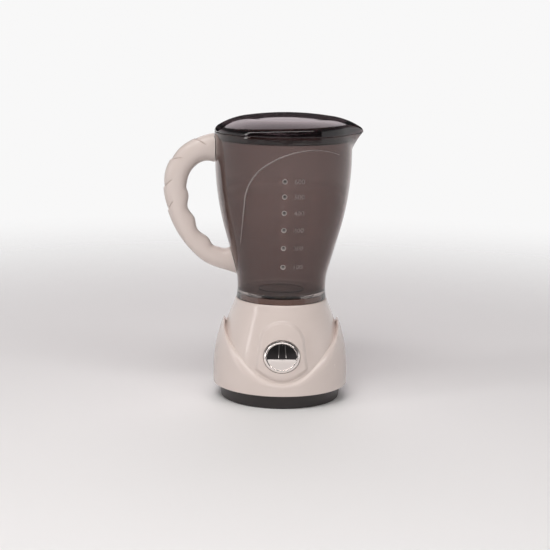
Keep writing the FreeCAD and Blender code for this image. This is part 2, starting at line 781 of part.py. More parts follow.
CASE_ANGLES = (90, 210, 330)
FRAME_CORNERS = ((-1, -1), (1, -1), (1, 1), (-1, 1))


def case_place(angle):
    place = plate_radius() - S["case_screw_set"]
    return place * cosine(angle), place * sine(angle)


def case_boss_top():
    """The level where the drawn-in cone has closed over the case bosses."""
    reach = plate_radius() - S["case_screw_set"] + S["case_boss_radius"]
    inward = core_radius() - S["housing_wall"] - reach + S["case_boss_bite"]
    bend = core_arc_radius()
    return S["core_widest"] + root(inward * (2 * bend - inward))


def case_joint():
    """The level where the plate's and the housing's screw bosses meet."""
    return S["housing_bottom"] + S["flange_thickness"] + S["part_gap"]


def finish_housing():
    shell = make_housing()
    parts = [shell, make_arch()] + make_ramps() + make_button_sleeve()
    for angle in CASE_ANGLES:
        x, y = case_place(angle)
        parts.append(post_body(f"case_boss_{angle}", x, y, case_joint() + S["seat_gap"],
                               case_boss_top(), S["case_boss_radius"]))
    level = S["frame_level"] + S["frame_thickness"]
    for number, (across, along) in enumerate(FRAME_CORNERS):
        place = S["frame_post_place"]
        parts.append(post_body(f"frame_post_{number}", across * place, along * place, level,
                               S["housing_top"] - 1, S["frame_post_radius"]))
    solid = joined("MultiFuse", "housing_solid", parts)
    bore = at_button(new_body("button_bore"))
    pad(bore, "bore", -2 * S["guide_depth"], 3 * S["guide_depth"], lambda sketch: draw_ellipse(
        sketch, S["button_wide"] + S["button_gap"], S["button_tall"] + S["button_gap"]))
    return node(cut("base_housing_cut", solid, bore), "base_housing")


# ---------------------------------------------------------------- base plate and battery bay

def bay_half_length():
    return S["cell_length"] / 2 + S["cell_nub"] / 2 + S["bay_end_room"]


def bay_half_width():
    return 2 * S["cell_radius"] + S["bay_play"] * 1.5


def bay_floor():
    """The level of the battery cover's inner face."""
    return S["rim_height"] + S["cover_thickness"]


def bay_top():
    return bay_floor() + 2 * S["cell_radius"] + 2 * S["bay_play"]


def cover_outline(play):
    """The battery cover's outline, smaller all round by play."""
    half, side = bay_half_length() + S["cover_ledge"] - play, bay_half_width() - play
    tab = half + S["cover_tab_length"]
    nose = S["case_boss_radius"] + 1 - play
    return [(-half, -side), (half, -side), (half, -nose), (tab, -nose), (tab, nose),
            (half, nose), (half, side), (-half, side)]


def cover_screw_place():
    return bay_half_length() + S["cover_ledge"] + S["cover_tab_length"] / 2


def make_base_plate():
    """The dark dish under the housing, with the battery bay, its ledge and the screw bosses."""
    plate = new_body("plate_body")
    floor = S["rim_height"] + S["plate_thickness"]
    flange = S["housing_bottom"]
    flange_radius = plate_radius() + S["flange_step"]
    inner = plate_radius() - S["plate_wall"]
    turn(plate, "dish", [
        (0.0, S["rim_height"]),
        (rim_radius() - S["rim_width"], S["rim_height"]),
        (rim_radius() - S["rim_width"], 0.0),
        (rim_radius() - 0.6, 0.0),
        (rim_radius(), 0.6),
        (plate_radius(), flange),
        (flange_radius, flange),
        (flange_radius, flange + S["flange_thickness"]),
        (inner, flange + S["flange_thickness"]),
        (rim_radius() - S["plate_wall"], floor),
        (0.0, floor),
    ])
    length, width, wall = bay_half_length(), bay_half_width(), S["bay_wall"]
    pad(plate, "bay_block", floor - 1, bay_top() + wall - floor + 1, lambda sketch: draw_box(
        sketch, -length - wall, length + wall, -width - wall, width + wall))
    boss_x = cover_screw_place()
    pad(plate, "cover_boss", floor - 1, S["screw_length"] + 1,
        lambda sketch: draw_circle(sketch, boss_x, 0.0, S["case_boss_radius"]))
    for angle in CASE_ANGLES:
        x, y = case_place(angle)
        pad(plate, f"case_boss_{angle}", S["rim_height"] + 0.4, case_joint() - S["rim_height"] - 0.4,
            lambda sketch: draw_circle(sketch, x, y, S["case_boss_radius"]))
    pocket(plate, "bay", bay_top(), bay_top() + 1,
           lambda sketch: draw_box(sketch, -length, length, -width, width))
    pocket(plate, "cover_recess", bay_floor() + S["seat_gap"], bay_floor() + 1,
           lambda sketch: draw(sketch, cover_outline(0.0)))
    pocket(plate, "cover_pilot", floor + S["screw_length"] - 1.5, floor + S["screw_length"],
           lambda sketch: draw_circle(sketch, boss_x, 0.0, S["screw_radius"] + S["screw_gap"]))
    for angle in CASE_ANGLES:
        x, y = case_place(angle)
        pocket(plate, f"case_sink_{angle}", case_seat(), case_seat() + 1,
               lambda sketch: draw_circle(sketch, x, y, S["screw_head_radius"] + S["part_gap"]))
        pocket(plate, f"case_hole_{angle}", case_joint() + 1, case_joint() + 1,
               lambda sketch: draw_circle(sketch, x, y, S["screw_radius"] + S["screw_gap"]))
    return node(plate, "base_plate")


def case_seat():
    """The level of the seat under the case screws' heads."""
    return case_joint() - S["screw_length"] / 2


def make_battery_cover():
    cover = new_body("cover_body")
    bottom = S["rim_height"]
    pad(cover, "cover", bottom, S["cover_thickness"],
        lambda sketch: draw(sketch, cover_outline(S["part_gap"])))
    pocket(cover, "cover_screw_hole", bay_floor() + 1, bay_floor() + 1, lambda sketch: draw_circle(
        sketch, cover_screw_place(), 0.0, S["screw_radius"] + S["screw_gap"]))
    pocket(cover, "cover_screw_sink", bottom + S["cover_thickness"] / 3, bay_floor() + 1,
           lambda sketch: draw_circle(
               sketch, cover_screw_place(), 0.0, S["screw_head_radius"] + S["part_gap"]))
    return node(cover, "battery_cover")


def make_cells():
    """Two AA cells side by side, pointing opposite ways, and the contacts at their ends."""
    cells = []
    level = bay_floor() + S["bay_play"] + S["cell_radius"]
    for side, name in ((-1, "front"), (1, "rear")):
        cell = new_body(f"cell_{name}")
        radius, length = S["cell_radius"], S["cell_length"]
        turn(cell, f"cell_{name}_solid", [
            (0.0, 0.0), (radius - 0.5, 0.0), (radius, 0.5), (radius, length - 0.8),
            (radius - 0.8, length), (S["cell_nub_radius"], length),
            (S["cell_nub_radius"], length + S["cell_nub"]), (0.0, length + S["cell_nub"]),
        ])
        start = side * (length + S["cell_nub"]) / 2
        at(cell, start, side * (radius + S["bay_play"] / 2), level, Vector(0, 1, 0), -90.0 * side)
        cells.append(cell)
    node(joined("Compound", "cell_pair", cells), "battery_cells")
    contacts = []
    for end, name in ((-1, "left"), (1, "right")):
        contact = new_body(f"contact_{name}")
        half, thick = bay_half_length(), S["contact_thickness"]
        outer = end * (half - S["seat_gap"])
        inner = end * (half - S["seat_gap"] - thick)
        left, right = (outer, inner) if end < 0 else (inner, outer)
        pad(contact, f"plate_{name}", bay_floor() + 1, 2 * S["cell_radius"] - 2,
            lambda sketch: draw_box(sketch, left, right, -bay_half_width() + 1, bay_half_width() - 1))
        bow = sketch_on(contact, "XZ_Plane", f"bow_{name}_outline", -bay_half_width() / 2 - 3)
        reach = end * (half - S["seat_gap"] - thick - S["bay_end_room"] + 1)
        middle, rise = level, S["cell_radius"] / 2
        draw(bow, [(outer, middle - rise), (reach, middle), (outer, middle + rise)][::end])
        add_feature(contact, "Pad", f"bow_{name}", bow, Length=6.0)
        contacts.append(contact)
    node(joined("Compound", "contact_pair", contacts), "battery_contacts")


# ---------------------------------------------------------------- screws

def make_screw(name):
    """A pan-head screw with a cross recess: its seat is at Z 0 and its head above."""
    screw = new_body(name)
    head, radius, length = S["screw_head_radius"], S["screw_radius"], S["screw_length"]
    turn(screw, name + "_solid", [
        (0.0, -length + 0.4), (radius - 0.5, -length + 0.4), (radius, -length + 1.2), (radius, 0.0),
        (head, 0.0), (head, S["screw_head"] / 2), (head - 0.7, S["screw_head"]),
        (0.0, S["screw_head"]),
    ])
    for way, turned in (("a", False), ("b", True)):
        long, short = head * 0.6, S["screw_slot"] / 2
        wide, tall = (short, long) if turned else (long, short)
        pocket(screw, f"{name}_slot_{way}", S["screw_head"], S["screw_head"] / 2,
               lambda sketch: draw_box(sketch, -wide, wide, -tall, tall))
    return screw


DOWN = (Vector(1, 0, 0), 180.0)


def make_case_screws():
    screws = []
    for angle in CASE_ANGLES:
        x, y = case_place(angle)
        screws.append(at(make_screw(f"case_screw_{angle}"), x, y, case_seat(), *DOWN))
    node(joined("Compound", "case_screw_set", screws), "case_screws")
    seat = S["rim_height"] + S["cover_thickness"] / 3
    screw = at(make_screw("cover_screw_body"), cover_screw_place(), 0.0, seat, *DOWN)
    node(screw, "cover_screw")


# ---------------------------------------------------------------- button and switch

def make_button():
    """The plated oval cap, its stop flange and the boss that meets the plunger."""
    cap = at_button(new_body("button_cap"))
    wide, tall = S["button_wide"], S["button_tall"]
    stop = S["guide_depth"] + S["seat_gap"]
    rim, crown = S["button_proud"], S["button_crown"]
    pad(cap, "cap", -stop, stop + rim + crown,
        lambda sketch: draw_ellipse(sketch, wide, tall))
    pad(cap, "stop", -stop - S["stop_flange"], S["stop_flange"],
        lambda sketch: draw_ellipse(sketch, wide + S["stop_step"], tall + S["stop_step"]))
    dome = arc_radius(crown, wide - 1)
    top, outer = rim + crown, wide + 1
    groove(cap, "dome", [
        (0.0, top), (outer - 2, rim, -dome), (outer, rim - 0.3), (outer, top + 1), (0.0, top + 1)])
    hollow = sketch_on(cap, "XY_Plane", "hollow_outline", -stop - S["stop_flange"])
    draw_ellipse(hollow, wide - S["button_skirt"], tall - S["button_skirt"])
    add_feature(cap, "Pocket", "hollow", hollow, Reversed=True,
                Length=stop + S["stop_flange"] + rim - S["button_face"])
    boss = sketch_on(cap, "XY_Plane", "boss_outline", -S["plunger_depth"] + S["seat_gap"])
    draw_circle(boss, 0.0, 0.0, S["plunger_radius"] + 1.2)
    add_feature(cap, "Pad", "boss", boss, Length=S["plunger_depth"] + rim - S["button_face"] / 2)
    node(cap, "button")
    plunger = at_button(new_body("plunger_body"))
    turn(plunger, "plunger", [
        (0.0, -S["plunger_depth"] - S["plunger_length"]),
        (S["plunger_radius"], -S["plunger_depth"] - S["plunger_length"]),
        (S["plunger_radius"], -S["plunger_depth"] - 0.3),
        (S["plunger_radius"] - 0.3, -S["plunger_depth"]),
        (0.0, -S["plunger_depth"]),
    ])
    node(plunger, "switch_plunger")


def make_switch():
    switch = at_button(new_body("switch_body"))
    half = S["switch_side"] / 2
    back = -S["switch_depth"] - S["switch_length"]
    pad(switch, "case", back, S["switch_length"],
        lambda sketch: draw_box(sketch, -half, half, -half, half))
    room = S["plunger_depth"] + S["plunger_length"] + S["button_travel"] + 0.5 - S["switch_depth"]
    pocket(switch, "plunger_bore", -S["switch_depth"], room,
           lambda sketch: draw_circle(sketch, 0.0, 0.0, S["plunger_radius"] + S["shaft_gap"]))
    node(switch, "push_switch")
    board = at_button(new_body("board_body"))
    wide, tall = S["board_wide"] / 2, S["board_tall"] / 2
    pad(board, "board", back - S["board_thickness"], S["board_thickness"],
        lambda sketch: draw_box(sketch, -wide, wide, -tall, tall))
    for side, name in ((-1, "left"), (1, "right")):
        pocket(board, f"board_hole_{name}", back + 1, S["board_thickness"] + 2,
               lambda sketch: draw_circle(sketch, side * S["board_post_place"], 0.0,
                                          S["screw_radius"] + S["screw_gap"]))
    node(board, "switch_board")
    screws = []
    for side, name in ((-1, "left"), (1, "right")):
        screw = at_button(make_screw(f"board_screw_{name}"), side * S["board_post_place"],
                          S["switch_depth"] + S["switch_length"] + S["board_thickness"])
        screw.Placement = screw.Placement.multiply(Placement(Vector(), Rotation(*DOWN)))
        screw.setExpression(".Placement.Rotation.Angle", (270 - S["button_tilt"]).text)
        screws.append(screw)
    node(joined("Compound", "board_screw_set", screws), "switch_screws")


# ---------------------------------------------------------------- gear frame and drive

def axis_distance():
    """Distance between the drive spindle and the motor."""
    return S["tooth_module"] * (S["gear_teeth"] + S["pinion_teeth"]) / 2


def motor_outline(play):
    """The motor's section: two flats and two round sides, larger all round by play."""
    radius, flat = S["motor_radius"] + play, S["motor_flat"] + play
    corner = root(radius * radius - flat * flat)
    y = axis_distance()
    return [(-corner, y - flat), (corner, y - flat), (corner, y + flat, radius),
            (-corner, y + flat), (-corner, y - flat, radius)][:4], radius


def draw_motor(sketch, play):
    points, radius = motor_outline(play)
    draw(sketch, close_with_arc(points, radius))


def make_gear_frame():
    """The plate that hangs under the housing's four posts and carries motor and spindle."""
    frame = new_body("frame_body")
    low, thick = S["frame_level"], S["frame_thickness"]
    edge = S["frame_post_place"] + S["frame_corner"]
    place, corner = S["frame_post_place"], S["frame_corner"]
    motor_edge = axis_distance() + S["motor_flat"] + S["motor_collar_wall"] + S["screw_gap"]
    pad(frame, "frame_plate", low, thick, lambda sketch: draw(sketch, [
        (place, -edge), (edge, -place, corner), (edge, place), (place, edge, corner),
        (S["motor_radius"], motor_edge), (-S["motor_radius"], motor_edge),
        (-place, edge), (-edge, place, corner), (-edge, -place), (-place, -edge, corner)]))
    wall = S["motor_collar_wall"] + S["screw_gap"]
    pad(frame, "motor_collar", low - S["motor_collar_depth"], S["motor_collar_depth"] + 1,
        lambda sketch: draw_motor(sketch, wall))
    pad(frame, "bearing_boss", low - S["bearing_depth"], S["bearing_depth"] + 1,
        lambda sketch: draw_circle(sketch, 0.0, 0.0, S["bearing_radius"]))
    pocket(frame, "motor_room", low, S["motor_collar_depth"] + 1,
           lambda sketch: draw_motor(sketch, S["screw_gap"]))
    pocket(frame, "spindle_bore", low + thick, S["bearing_depth"] + thick - 1,
           lambda sketch: draw_circle(sketch, 0.0, 0.0, S["shaft_radius"] + S["shaft_gap"]))
    pocket(frame, "motor_boss_hole", low + thick + 1, thick + 2, lambda sketch: draw_circle(
        sketch, 0.0, axis_distance(), S["motor_boss_radius"] + S["screw_gap"]))
    for number, (across, along) in enumerate(FRAME_CORNERS):
        pocket(frame, f"frame_hole_{number}", low + thick + 1, thick + 2,
               lambda sketch: draw_circle(sketch, across * place, along * place,
                                          S["screw_radius"] + S["screw_gap"]))
    node(frame, "gear_frame")
    screws = []
    for number, (across, along) in enumerate(FRAME_CORNERS):
        screw = make_screw(f"frame_screw_{number}")
        screws.append(at(screw, across * place, along * place, low, *DOWN))
    node(joined("Compound", "frame_screw_set", screws), "frame_screws")


def make_motor():
    low, y = S["frame_level"], axis_distance()
    can = new_body("motor_can_body")
    pad(can, "can", low - S["motor_length"], S["motor_length"],
        lambda sketch: draw_motor(sketch, 0.0))
    pad(can, "front_boss", low - 1, S["motor_boss"] + 1,
        lambda sketch: draw_circle(sketch, 0.0, y, S["motor_boss_radius"]))
    pocket(can, "shaft_bore", low + S["motor_boss"] + 1, S["motor_boss"] + 9, lambda sketch:
           draw_circle(sketch, 0.0, y, S["motor_shaft_radius"] + S["shaft_gap"]))
    node(can, "motor_can")
    cap = new_body("motor_cap_body")
    bottom = low - S["motor_length"] - S["motor_cap_length"]
    pad(cap, "end_cap", bottom, S["motor_cap_length"], lambda sketch: draw_motor(sketch, -0.4))
    pad(cap, "end_boss", bottom - 1.5, 2.5,
        lambda sketch: draw_circle(sketch, 0.0, y, S["motor_boss_radius"]))
    node(cap, "motor_end_cap")
    terminals = []
    for side, name in ((-1, "left"), (1, "right")):
        lug = new_body(f"terminal_{name}")
        x = side * S["motor_radius"] * 0.6
        pad(lug, f"terminal_{name}_strip", bottom - 4, 4.0,
            lambda sketch: draw_box(sketch, x - 1.2, x + 1.2, y - 0.3, y + 0.3))
        terminals.append(lug)
    node(joined("Compound", "terminal_pair", terminals), "motor_terminals")


def make_gear(name, label, teeth, bottom, thickness, bore, hub, hub_low, hub_high):
    """A spur gear about its own Z axis: a disc, one tooth patterned round it and a hub."""
    gear = new_body(name)
    module = S["tooth_module"]
    pitch = module * teeth / 2
    base, tip = pitch - 1.25 * module, pitch + 0.95 * module
    pad(gear, name + "_disc", bottom, thickness,
        lambda sketch: draw_circle(sketch, 0.0, 0.0, base))
    if hub is not None:
        pad(gear, name + "_hub", hub_low, hub_high - hub_low,
            lambda sketch: draw_circle(sketch, 0.0, 0.0, hub))
    wide, middle, narrow = 1.0 * module, 0.62 * module, 0.26 * module
    tooth = pad(gear, name + "_tooth", bottom, thickness, lambda sketch: draw(sketch, [
        (base - 0.3, wide), (base - 0.3, -wide), (base, -wide), (pitch, -middle),
        (tip, -narrow), (tip, narrow), (pitch, middle), (base, wide)]))
    polar(gear, name + "_teeth", tooth, teeth)
    pocket(gear, name + "_bore", hub_high + 1, hub_high - hub_low + 2,
           lambda sketch: draw_circle(sketch, 0.0, 0.0, bore))
    return node(gear, label)


def make_drive():
    """Spindle, drive gear, bush and lower coupling, and the motor's shaft with its pinion."""
    fit = S["shaft_radius"] + 0.01
    gear_low, thick = S["gear_level"], S["gear_thickness"]
    frame_top = S["frame_level"] + S["frame_thickness"]
    make_gear("gear", "drive_gear", S["gear_teeth"], gear_low, thick, fit, S["gear_hub_radius"],
              frame_top + 2 * S["seat_gap"], gear_low + thick + 3)
    hub_low = S["well_floor"] + S["bush_flange"] + 2 * S["seat_gap"]
    hub_top = hub_low + S["dog_hub"]
    spindle = new_body("spindle_body")
    foot = S["frame_level"] - S["bearing_depth"] + 1 + S["seat_gap"]
    turn(spindle, "spindle", [
        (0.0, foot), (S["shaft_radius"] - 0.4, foot), (S["shaft_radius"], foot + 0.4),
        (S["shaft_radius"], hub_top), (0.0, hub_top)])
    node(spindle, "drive_spindle")
    bush = new_body("bush_body")
    bore = S["shaft_radius"] + S["shaft_gap"]
    turn(bush, "bush", [
        (bore, S["well_floor"] - S["bush_length"]),
        (S["bush_radius"], S["well_floor"] - S["bush_length"]),
        (S["bush_radius"], S["well_floor"]),
        (S["bush_flange_radius"], S["well_floor"]),
        (S["bush_flange_radius"], S["well_floor"] + S["bush_flange"]),
        (bore, S["well_floor"] + S["bush_flange"])])
    node(bush, "spindle_bush")
    lower = new_body("lower_dog_body")
    pad(lower, "lower_disc", hub_low, S["dog_hub"],
        lambda sketch: draw_circle(sketch, 0.0, 0.0, S["dog_radius"]))
    lug = pad(lower, "lower_lug", hub_top - 0.5, S["dog_lug"] + 0.5,
              lambda sketch: draw_lug(sketch, 180 / S["dog_count"]))
    polar(lower, "lower_lugs", lug, S["dog_count"])
    pocket(lower, "lower_bore", hub_top + 1, S["dog_hub"] + 2,
           lambda sketch: draw_circle(sketch, 0.0, 0.0, fit))
    node(lower, "drive_coupling")
    shaft = at(new_body("motor_shaft_body"), 0.0, axis_distance())
    shaft_low = S["frame_level"] - 7
    shaft_top = gear_low + thick + 2
    turn(shaft, "motor_shaft_solid", [
        (0.0, shaft_low), (S["motor_shaft_radius"], shaft_low),
        (S["motor_shaft_radius"], shaft_top), (0.0, shaft_top)])
    node(shaft, "motor_shaft")
    pinion = make_gear("pinion", "motor_pinion", S["pinion_teeth"], gear_low - 0.5, thick + 1,
                       S["motor_shaft_radius"] + 0.01, None, gear_low - 0.5, gear_low + thick + 0.5)
    at(pinion, 0.0, axis_distance(), 0.0, UP, 180 / S["pinion_teeth"])


def draw_lug(sketch, middle):
    """One coupling lug: a sector of a ring about the direction middle, in degrees."""
    near, far = S["dog_inner"], S["dog_radius"]
    first, last = middle - S["dog_angle"], middle + S["dog_angle"]
    draw(sketch, [
        (near * cosine(first), near * sine(first), -near),
        (far * cosine(first), far * sine(first)),
        (far * cosine(last), far * sine(last), far),
        (near * cosine(last), near * sine(last)),
    ])


# ---------------------------------------------------------------- jug

def spout_section(body, name, level, reach, lean, inset):
    """One level section of the spout: a blunt wedge from inside the jug's wall to its tip."""
    sketch = sketch_on(body, "XY_Plane", name, level)
    root_radius = S["body_radius"] - S["spout_sink"] - inset
    tip = S["spout_tip_radius"] - inset
    centre = reach - inset - tip
    root_x, root_y = root_radius * cosine(lean), root_radius * sine(lean)
    tip_x, tip_y = centre + tip * cosine(lean), tip * sine(lean)
    draw(sketch, [(root_x, -root_y), (tip_x, -tip_y), (tip_x, tip_y, tip), (root_x, root_y)])
    return sketch


def flank_lean(reach):
    """Degrees from +X at which a flank drawn from the jug to a tip with this reach touches both."""
    tip = float(S["spout_tip_radius"])
    return math.degrees(math.acos((float(S["body_radius"]) - tip) / (float(reach) - tip)))


def spout_loft(body, kind, name, inset, top):
    """The spout's loft through three levels: hidden in the wall, half way and at the rim."""
    hidden = S["body_radius"] - S["spout_sink"]
    middle = S["body_radius"] + S["spout_middle_out"]
    levels = (
        ("low", S["spout_start"], hidden, 10.0),
        ("half", S["spout_middle"], middle, flank_lean(middle)),
        ("rim", top, spout_reach(), flank_lean(spout_reach())),
    )
    sections = [spout_section(body, f"{name}_{place}", level, reach, lean, inset)
                for place, level, reach, lean in levels]
    loft = body.newObject("PartDesign::" + kind, name)
    loft.Profile = sections[0]
    loft.Sections = sections[1:]
    return loft


# The thin rib's middle line on the jug's front: x, height above the shoulder, heading in
# degrees, radius to here.
RIB_PATH = (
    (-32.0, 45.9, 85.0, None),
    (-29.4, 76.7, 82.0, None),
    (-18.7, 103.5, 46.0, 38.6),
    (20.5, 118.7, 0.0, 60.0),
    (40.2, 114.2, -26.0, 45.0),
)


def rib_outline():
    """The rib's outline seen from the front: out along one side and back along the other."""
    half = float(S["rib_width"]) / 2
    outer, inner = [], []
    for x, rise, heading, bend in RIB_PATH:
        z = float(S["housing_top"]) + rise
        across = math.cos(math.radians(heading)) * half
        back = math.sin(math.radians(heading)) * half
        outer.append((x - back, z + across) + ((-bend - half,) if bend else ()))
        inner.append((x + back, z - across))
    bends = [point[3] for point in RIB_PATH[1:]] + [None]
    inner = [point + ((bend - half,) if bend else ()) for point, bend in zip(inner, bends)]
    return outer + inner[::-1]


def make_rib():
    """The rib: a band that follows the jug's skin, cut to its outline seen from the front."""
    skin = new_body("rib_skin")
    sink = S["jug_wall"] / 2
    low, high = S["flare_top"] + 1, S["band_bottom"] - 1
    outside = jug_side(-S["rib_proud"], low, high)[2:]
    inside = jug_side(sink, low, high)[2:]
    turn(skin, "rib_skin_solid", outside + [inside[2], (inside[1][0], inside[1][1]),
         (inside[0][0], inside[0][1], -jug_arc_radius())])
    band = new_body("rib_band")
    outline = sketch_on(band, "XZ_Plane", "rib_outline", S["collar_radius"] / 2)
    draw(outline, rib_outline())
    add_feature(band, "Pad", "rib_block", outline, Length=S["body_radius"])
    return joined("MultiCommon", "front_rib", [skin, band])


def make_jug():
    """The flared jug with collar, rim band, spout, scale dots and handle lugs."""
    jug = new_body("jug_body")
    foot = S["housing_top"] + S["seat_gap"]
    band = band_radius()
    outer = jug_side(0.0, S["collar_bottom"], S["band_bottom"])
    turn(jug, "jug_outer", [(0.0, foot), (S["jug_foot_radius"], foot)] + outer + [
        (band, S["band_bottom"] + S["band_step"] / 2), (band, S["jug_top"]), (0.0, S["jug_top"])])
    for low, high, reach, name in (
        (S["upper_lug_low"], S["upper_lug_high"], S["body_radius"], "upper_lug"),
        (S["lower_lug_low"], S["lower_lug_high"], jug_at(S["lower_lug_low"]), "lower_lug"),
    ):
        lug = sketch_on(jug, "XZ_Plane", name + "_outline", -S["lug_half"])
        draw_box(lug, -reach - S["lug_reach"], -reach + S["jug_wall"] * 1.5, low, high)
        add_feature(jug, "Pad", name, lug, Length=2 * S["lug_half"])
    spout_loft(jug, "AdditiveLoft", "spout", 0.0, S["jug_top"])
    over = S["jug_top"] + 1
    inner = jug_side(S["jug_wall"], S["floor_top"], over)
    groove(jug, "jug_inner", [(0.0, S["floor_top"])] + inner + [(0.0, over)])
    spout_loft(jug, "SubtractiveLoft", "spout_inner", S["jug_wall"], S["jug_top"] + 0.01)
    under = S["floor_top"] - S["floor_thickness"]
    groove(jug, "socket", [
        (0.0, foot - 1), (S["collar_radius"] - S["jug_wall"], foot - 1),
        (S["collar_radius"] - S["jug_wall"], under), (0.0, under)])
    pocket(jug, "agitator_seat", S["floor_top"], S["agitator_recess"], lambda sketch: draw_circle(
        sketch, 0.0, 0.0, S["agitator_radius"] + S["part_gap"]))
    pocket(jug, "bush_hole", S["floor_top"], S["floor_thickness"] + 1, lambda sketch: draw_circle(
        sketch, 0.0, 0.0, S["bush_radius"] + S["screw_gap"]))
    dots = [make_dot(number) for number in range(6)]
    return node(joined("MultiFuse", "jug_solid", [jug, make_rib()] + dots), "jug")


def dot_height(number):
    """Height of a scale dot: the distances shrink as the jug widens."""
    return (S["dot_bottom"] + number * S["dot_first_step"]
            - number * (number - 1) / 2 * S["dot_step_loss"])


def make_dot(number):
    """A half ball on the front of the jug, one for each mark of the scale."""
    dot = doc.addObject("Part::Sphere", f"scale_dot_{number}")
    dot.Angle1 = 0
    bind(dot, "Radius", S["dot_radius"])
    height = dot_height(number)
    return at(dot, 0.0, S["dot_sink"] - jug_at(height), height, Vector(1, 0, 0), 90.0)


def make_agitator():
    """The disc in the jug's floor, its shaft, bush and upper coupling."""
    fit = S["shaft_radius"] + 0.01
    under = S["floor_top"] - S["floor_thickness"]
    low = S["floor_top"] - S["agitator_thickness"]
    disc = new_body("agitator_body")
    radius = S["agitator_radius"]
    turn(disc, "agitator", [
        (0.0, low), (radius, low), (radius, S["floor_top"] - 0.3), (radius - 0.3, S["floor_top"]),
        (0.0, S["floor_top"])])
    sink = sketch_on(disc, "XY_Plane", "shaft_socket", low)
    draw_circle(sink, 0.0, 0.0, fit)
    add_feature(disc, "Pocket", "shaft_hole", sink, Length=S["agitator_thickness"] / 2,
                Reversed=True)
    node(disc, "agitator_disc")
    bore = S["shaft_radius"] + S["shaft_gap"]
    flange_low = lower_dog_top() + S["dog_play"] + S["upper_dog_disc"] + S["dog_play"]
    seat = S["floor_top"] - S["agitator_recess"]
    bush = new_body("agitator_bush_body")
    turn(bush, "agitator_bush_solid", [
        (bore, flange_low), (S["bush_flange_radius"], flange_low),
        (S["bush_flange_radius"], under), (S["bush_radius"], under), (S["bush_radius"], seat),
        (bore, seat)])
    node(bush, "agitator_bush")
    upper = new_body("upper_dog_body")
    disc_low = lower_dog_top() + S["dog_play"]
    pad(upper, "upper_disc", disc_low, S["upper_dog_disc"],
        lambda sketch: draw_circle(sketch, 0.0, 0.0, S["dog_radius"]))
    lug_low = lower_hub_top() + S["dog_play"]
    lug = pad(upper, "upper_lug", lug_low, disc_low - lug_low + 0.5,
              lambda sketch: draw_lug(sketch, 0.0))
    polar(upper, "upper_lugs", lug, S["dog_count"])
    pad(upper, "upper_hub", lug_low, disc_low - lug_low + 0.5,
        lambda sketch: draw_circle(sketch, 0.0, 0.0, S["dog_inner"] - 1))
    pocket(upper, "upper_bore", disc_low + S["upper_dog_disc"] + 1, S["dog_lug"] + 4,
           lambda sketch: draw_circle(sketch, 0.0, 0.0, fit))
    node(upper, "agitator_coupling")
    shaft = new_body("agitator_shaft_body")
    shaft_top = low + S["agitator_thickness"] / 2 - S["seat_gap"] / 2
    turn(shaft, "agitator_shaft_solid", [
        (0.0, lug_low), (S["shaft_radius"], lug_low), (S["shaft_radius"], shaft_top),
        (0.0, shaft_top)])
    node(shaft, "agitator_shaft")


def lower_hub_top():
    return S["well_floor"] + S["bush_flange"] + 2 * S["seat_gap"] + S["dog_hub"]


def lower_dog_top():
    return lower_hub_top() + S["dog_lug"]


# ---------------------------------------------------------------- lid

def lid_reach():
    return spout_reach() + S["band_step"]


def crown_edge_drop():
    """Drop of the crown from its apex to its edge."""
    return S["lid_apex"] - S["jug_top"] - 2 * S["seat_gap"] - S["lid_edge"]


def crown_points(inset):
    """The lid's crown as (radius, height) points from its edge to its apex."""
    apex = S["lid_apex"] - inset
    break_radius, edge = S["crown_break"], band_radius() + S["crown_place"] - inset
    top = arc_radius(S["crown_break_drop"], S["crown_break"])
    return [
        (edge, S["lid_apex"] - crown_edge_drop() - inset / 2),
        (break_radius, apex - S["crown_break_drop"], S["crown_shoulder"]),
        (0.0, apex, top),
    ]


def make_lid():
    """The pointed lid: edge band, low crown and a plug ring that enters the jug."""
    lid = at(new_body("lid_body"), S["crown_place"])
    shift = -S["crown_place"]
    low = S["jug_top"] + S["seat_gap"] * 2
    high = S["lid_apex"] + 1

    def pointed(inset):
        def paint(sketch):
            sketch.AttachmentOffset = Placement(Vector(float(shift), 0, sketch.AttachmentOffset.Base.z),
                                                Rotation())
            bind(sketch, "AttachmentOffset.Base.x", shift)
            draw_pointed(sketch, band_radius() - inset, lid_reach() - inset,
                         S["spout_tip_radius"] - inset)
        return paint

    pad(lid, "lid_block", low, high - low, pointed(0.0))
    crown = crown_points(0.0)
    far = lid_reach() + band_radius()
    groove(lid, "crown", crown + [(0.0, high + 1), (far, high + 1), (far, crown[0][1])])
    hollow = sketch_on(lid, "XY_Plane", "hollow_outline", low)
    pointed(S["lid_wall"])(hollow)
    add_feature(lid, "Pocket", "lid_hollow", hollow, Length=S["lid_band"] / 2, Reversed=True)
    inner = crown_points(S["lid_wall"])
    level = low + S["lid_band"] / 2 - 0.1
    rim = band_radius() - S["lid_wall"] - S["crown_place"]
    fall = (crown_edge_drop() - S["crown_break_drop"]) * 5 / 11
    groove(lid, "crown_hollow", [(0.0, level), (rim, level), (rim, inner[1][1] - fall)]
           + [(inner[1][0], inner[1][1], S["crown_shoulder"]), inner[2]])
    ring_radius = S["body_radius"] - S["jug_wall"] - S["plug_gap"]
    ring = sketch_on(lid, "XY_Plane", "plug_outline", S["jug_top"] - S["plug_depth"])
    draw_circle(ring, shift, 0.0, ring_radius)
    draw_circle(ring, shift, 0.0, ring_radius - S["lid_wall"])
    add_feature(lid, "Pad", "plug_ring", ring, Length=S["plug_depth"] + S["lid_band"])
    return node(lid, "lid")


# ---------------------------------------------------------------- handle

def handle_top_x():
    """Distance of the upper bend's centre from the jug's axis."""
    return S["body_radius"] + S["handle_top_out"]


def handle_low_x():
    """Distance of the lower bend's centre: the bends meet on one upright line."""
    return handle_top_x() + S["handle_top_bend"] - S["handle_low_bend"]


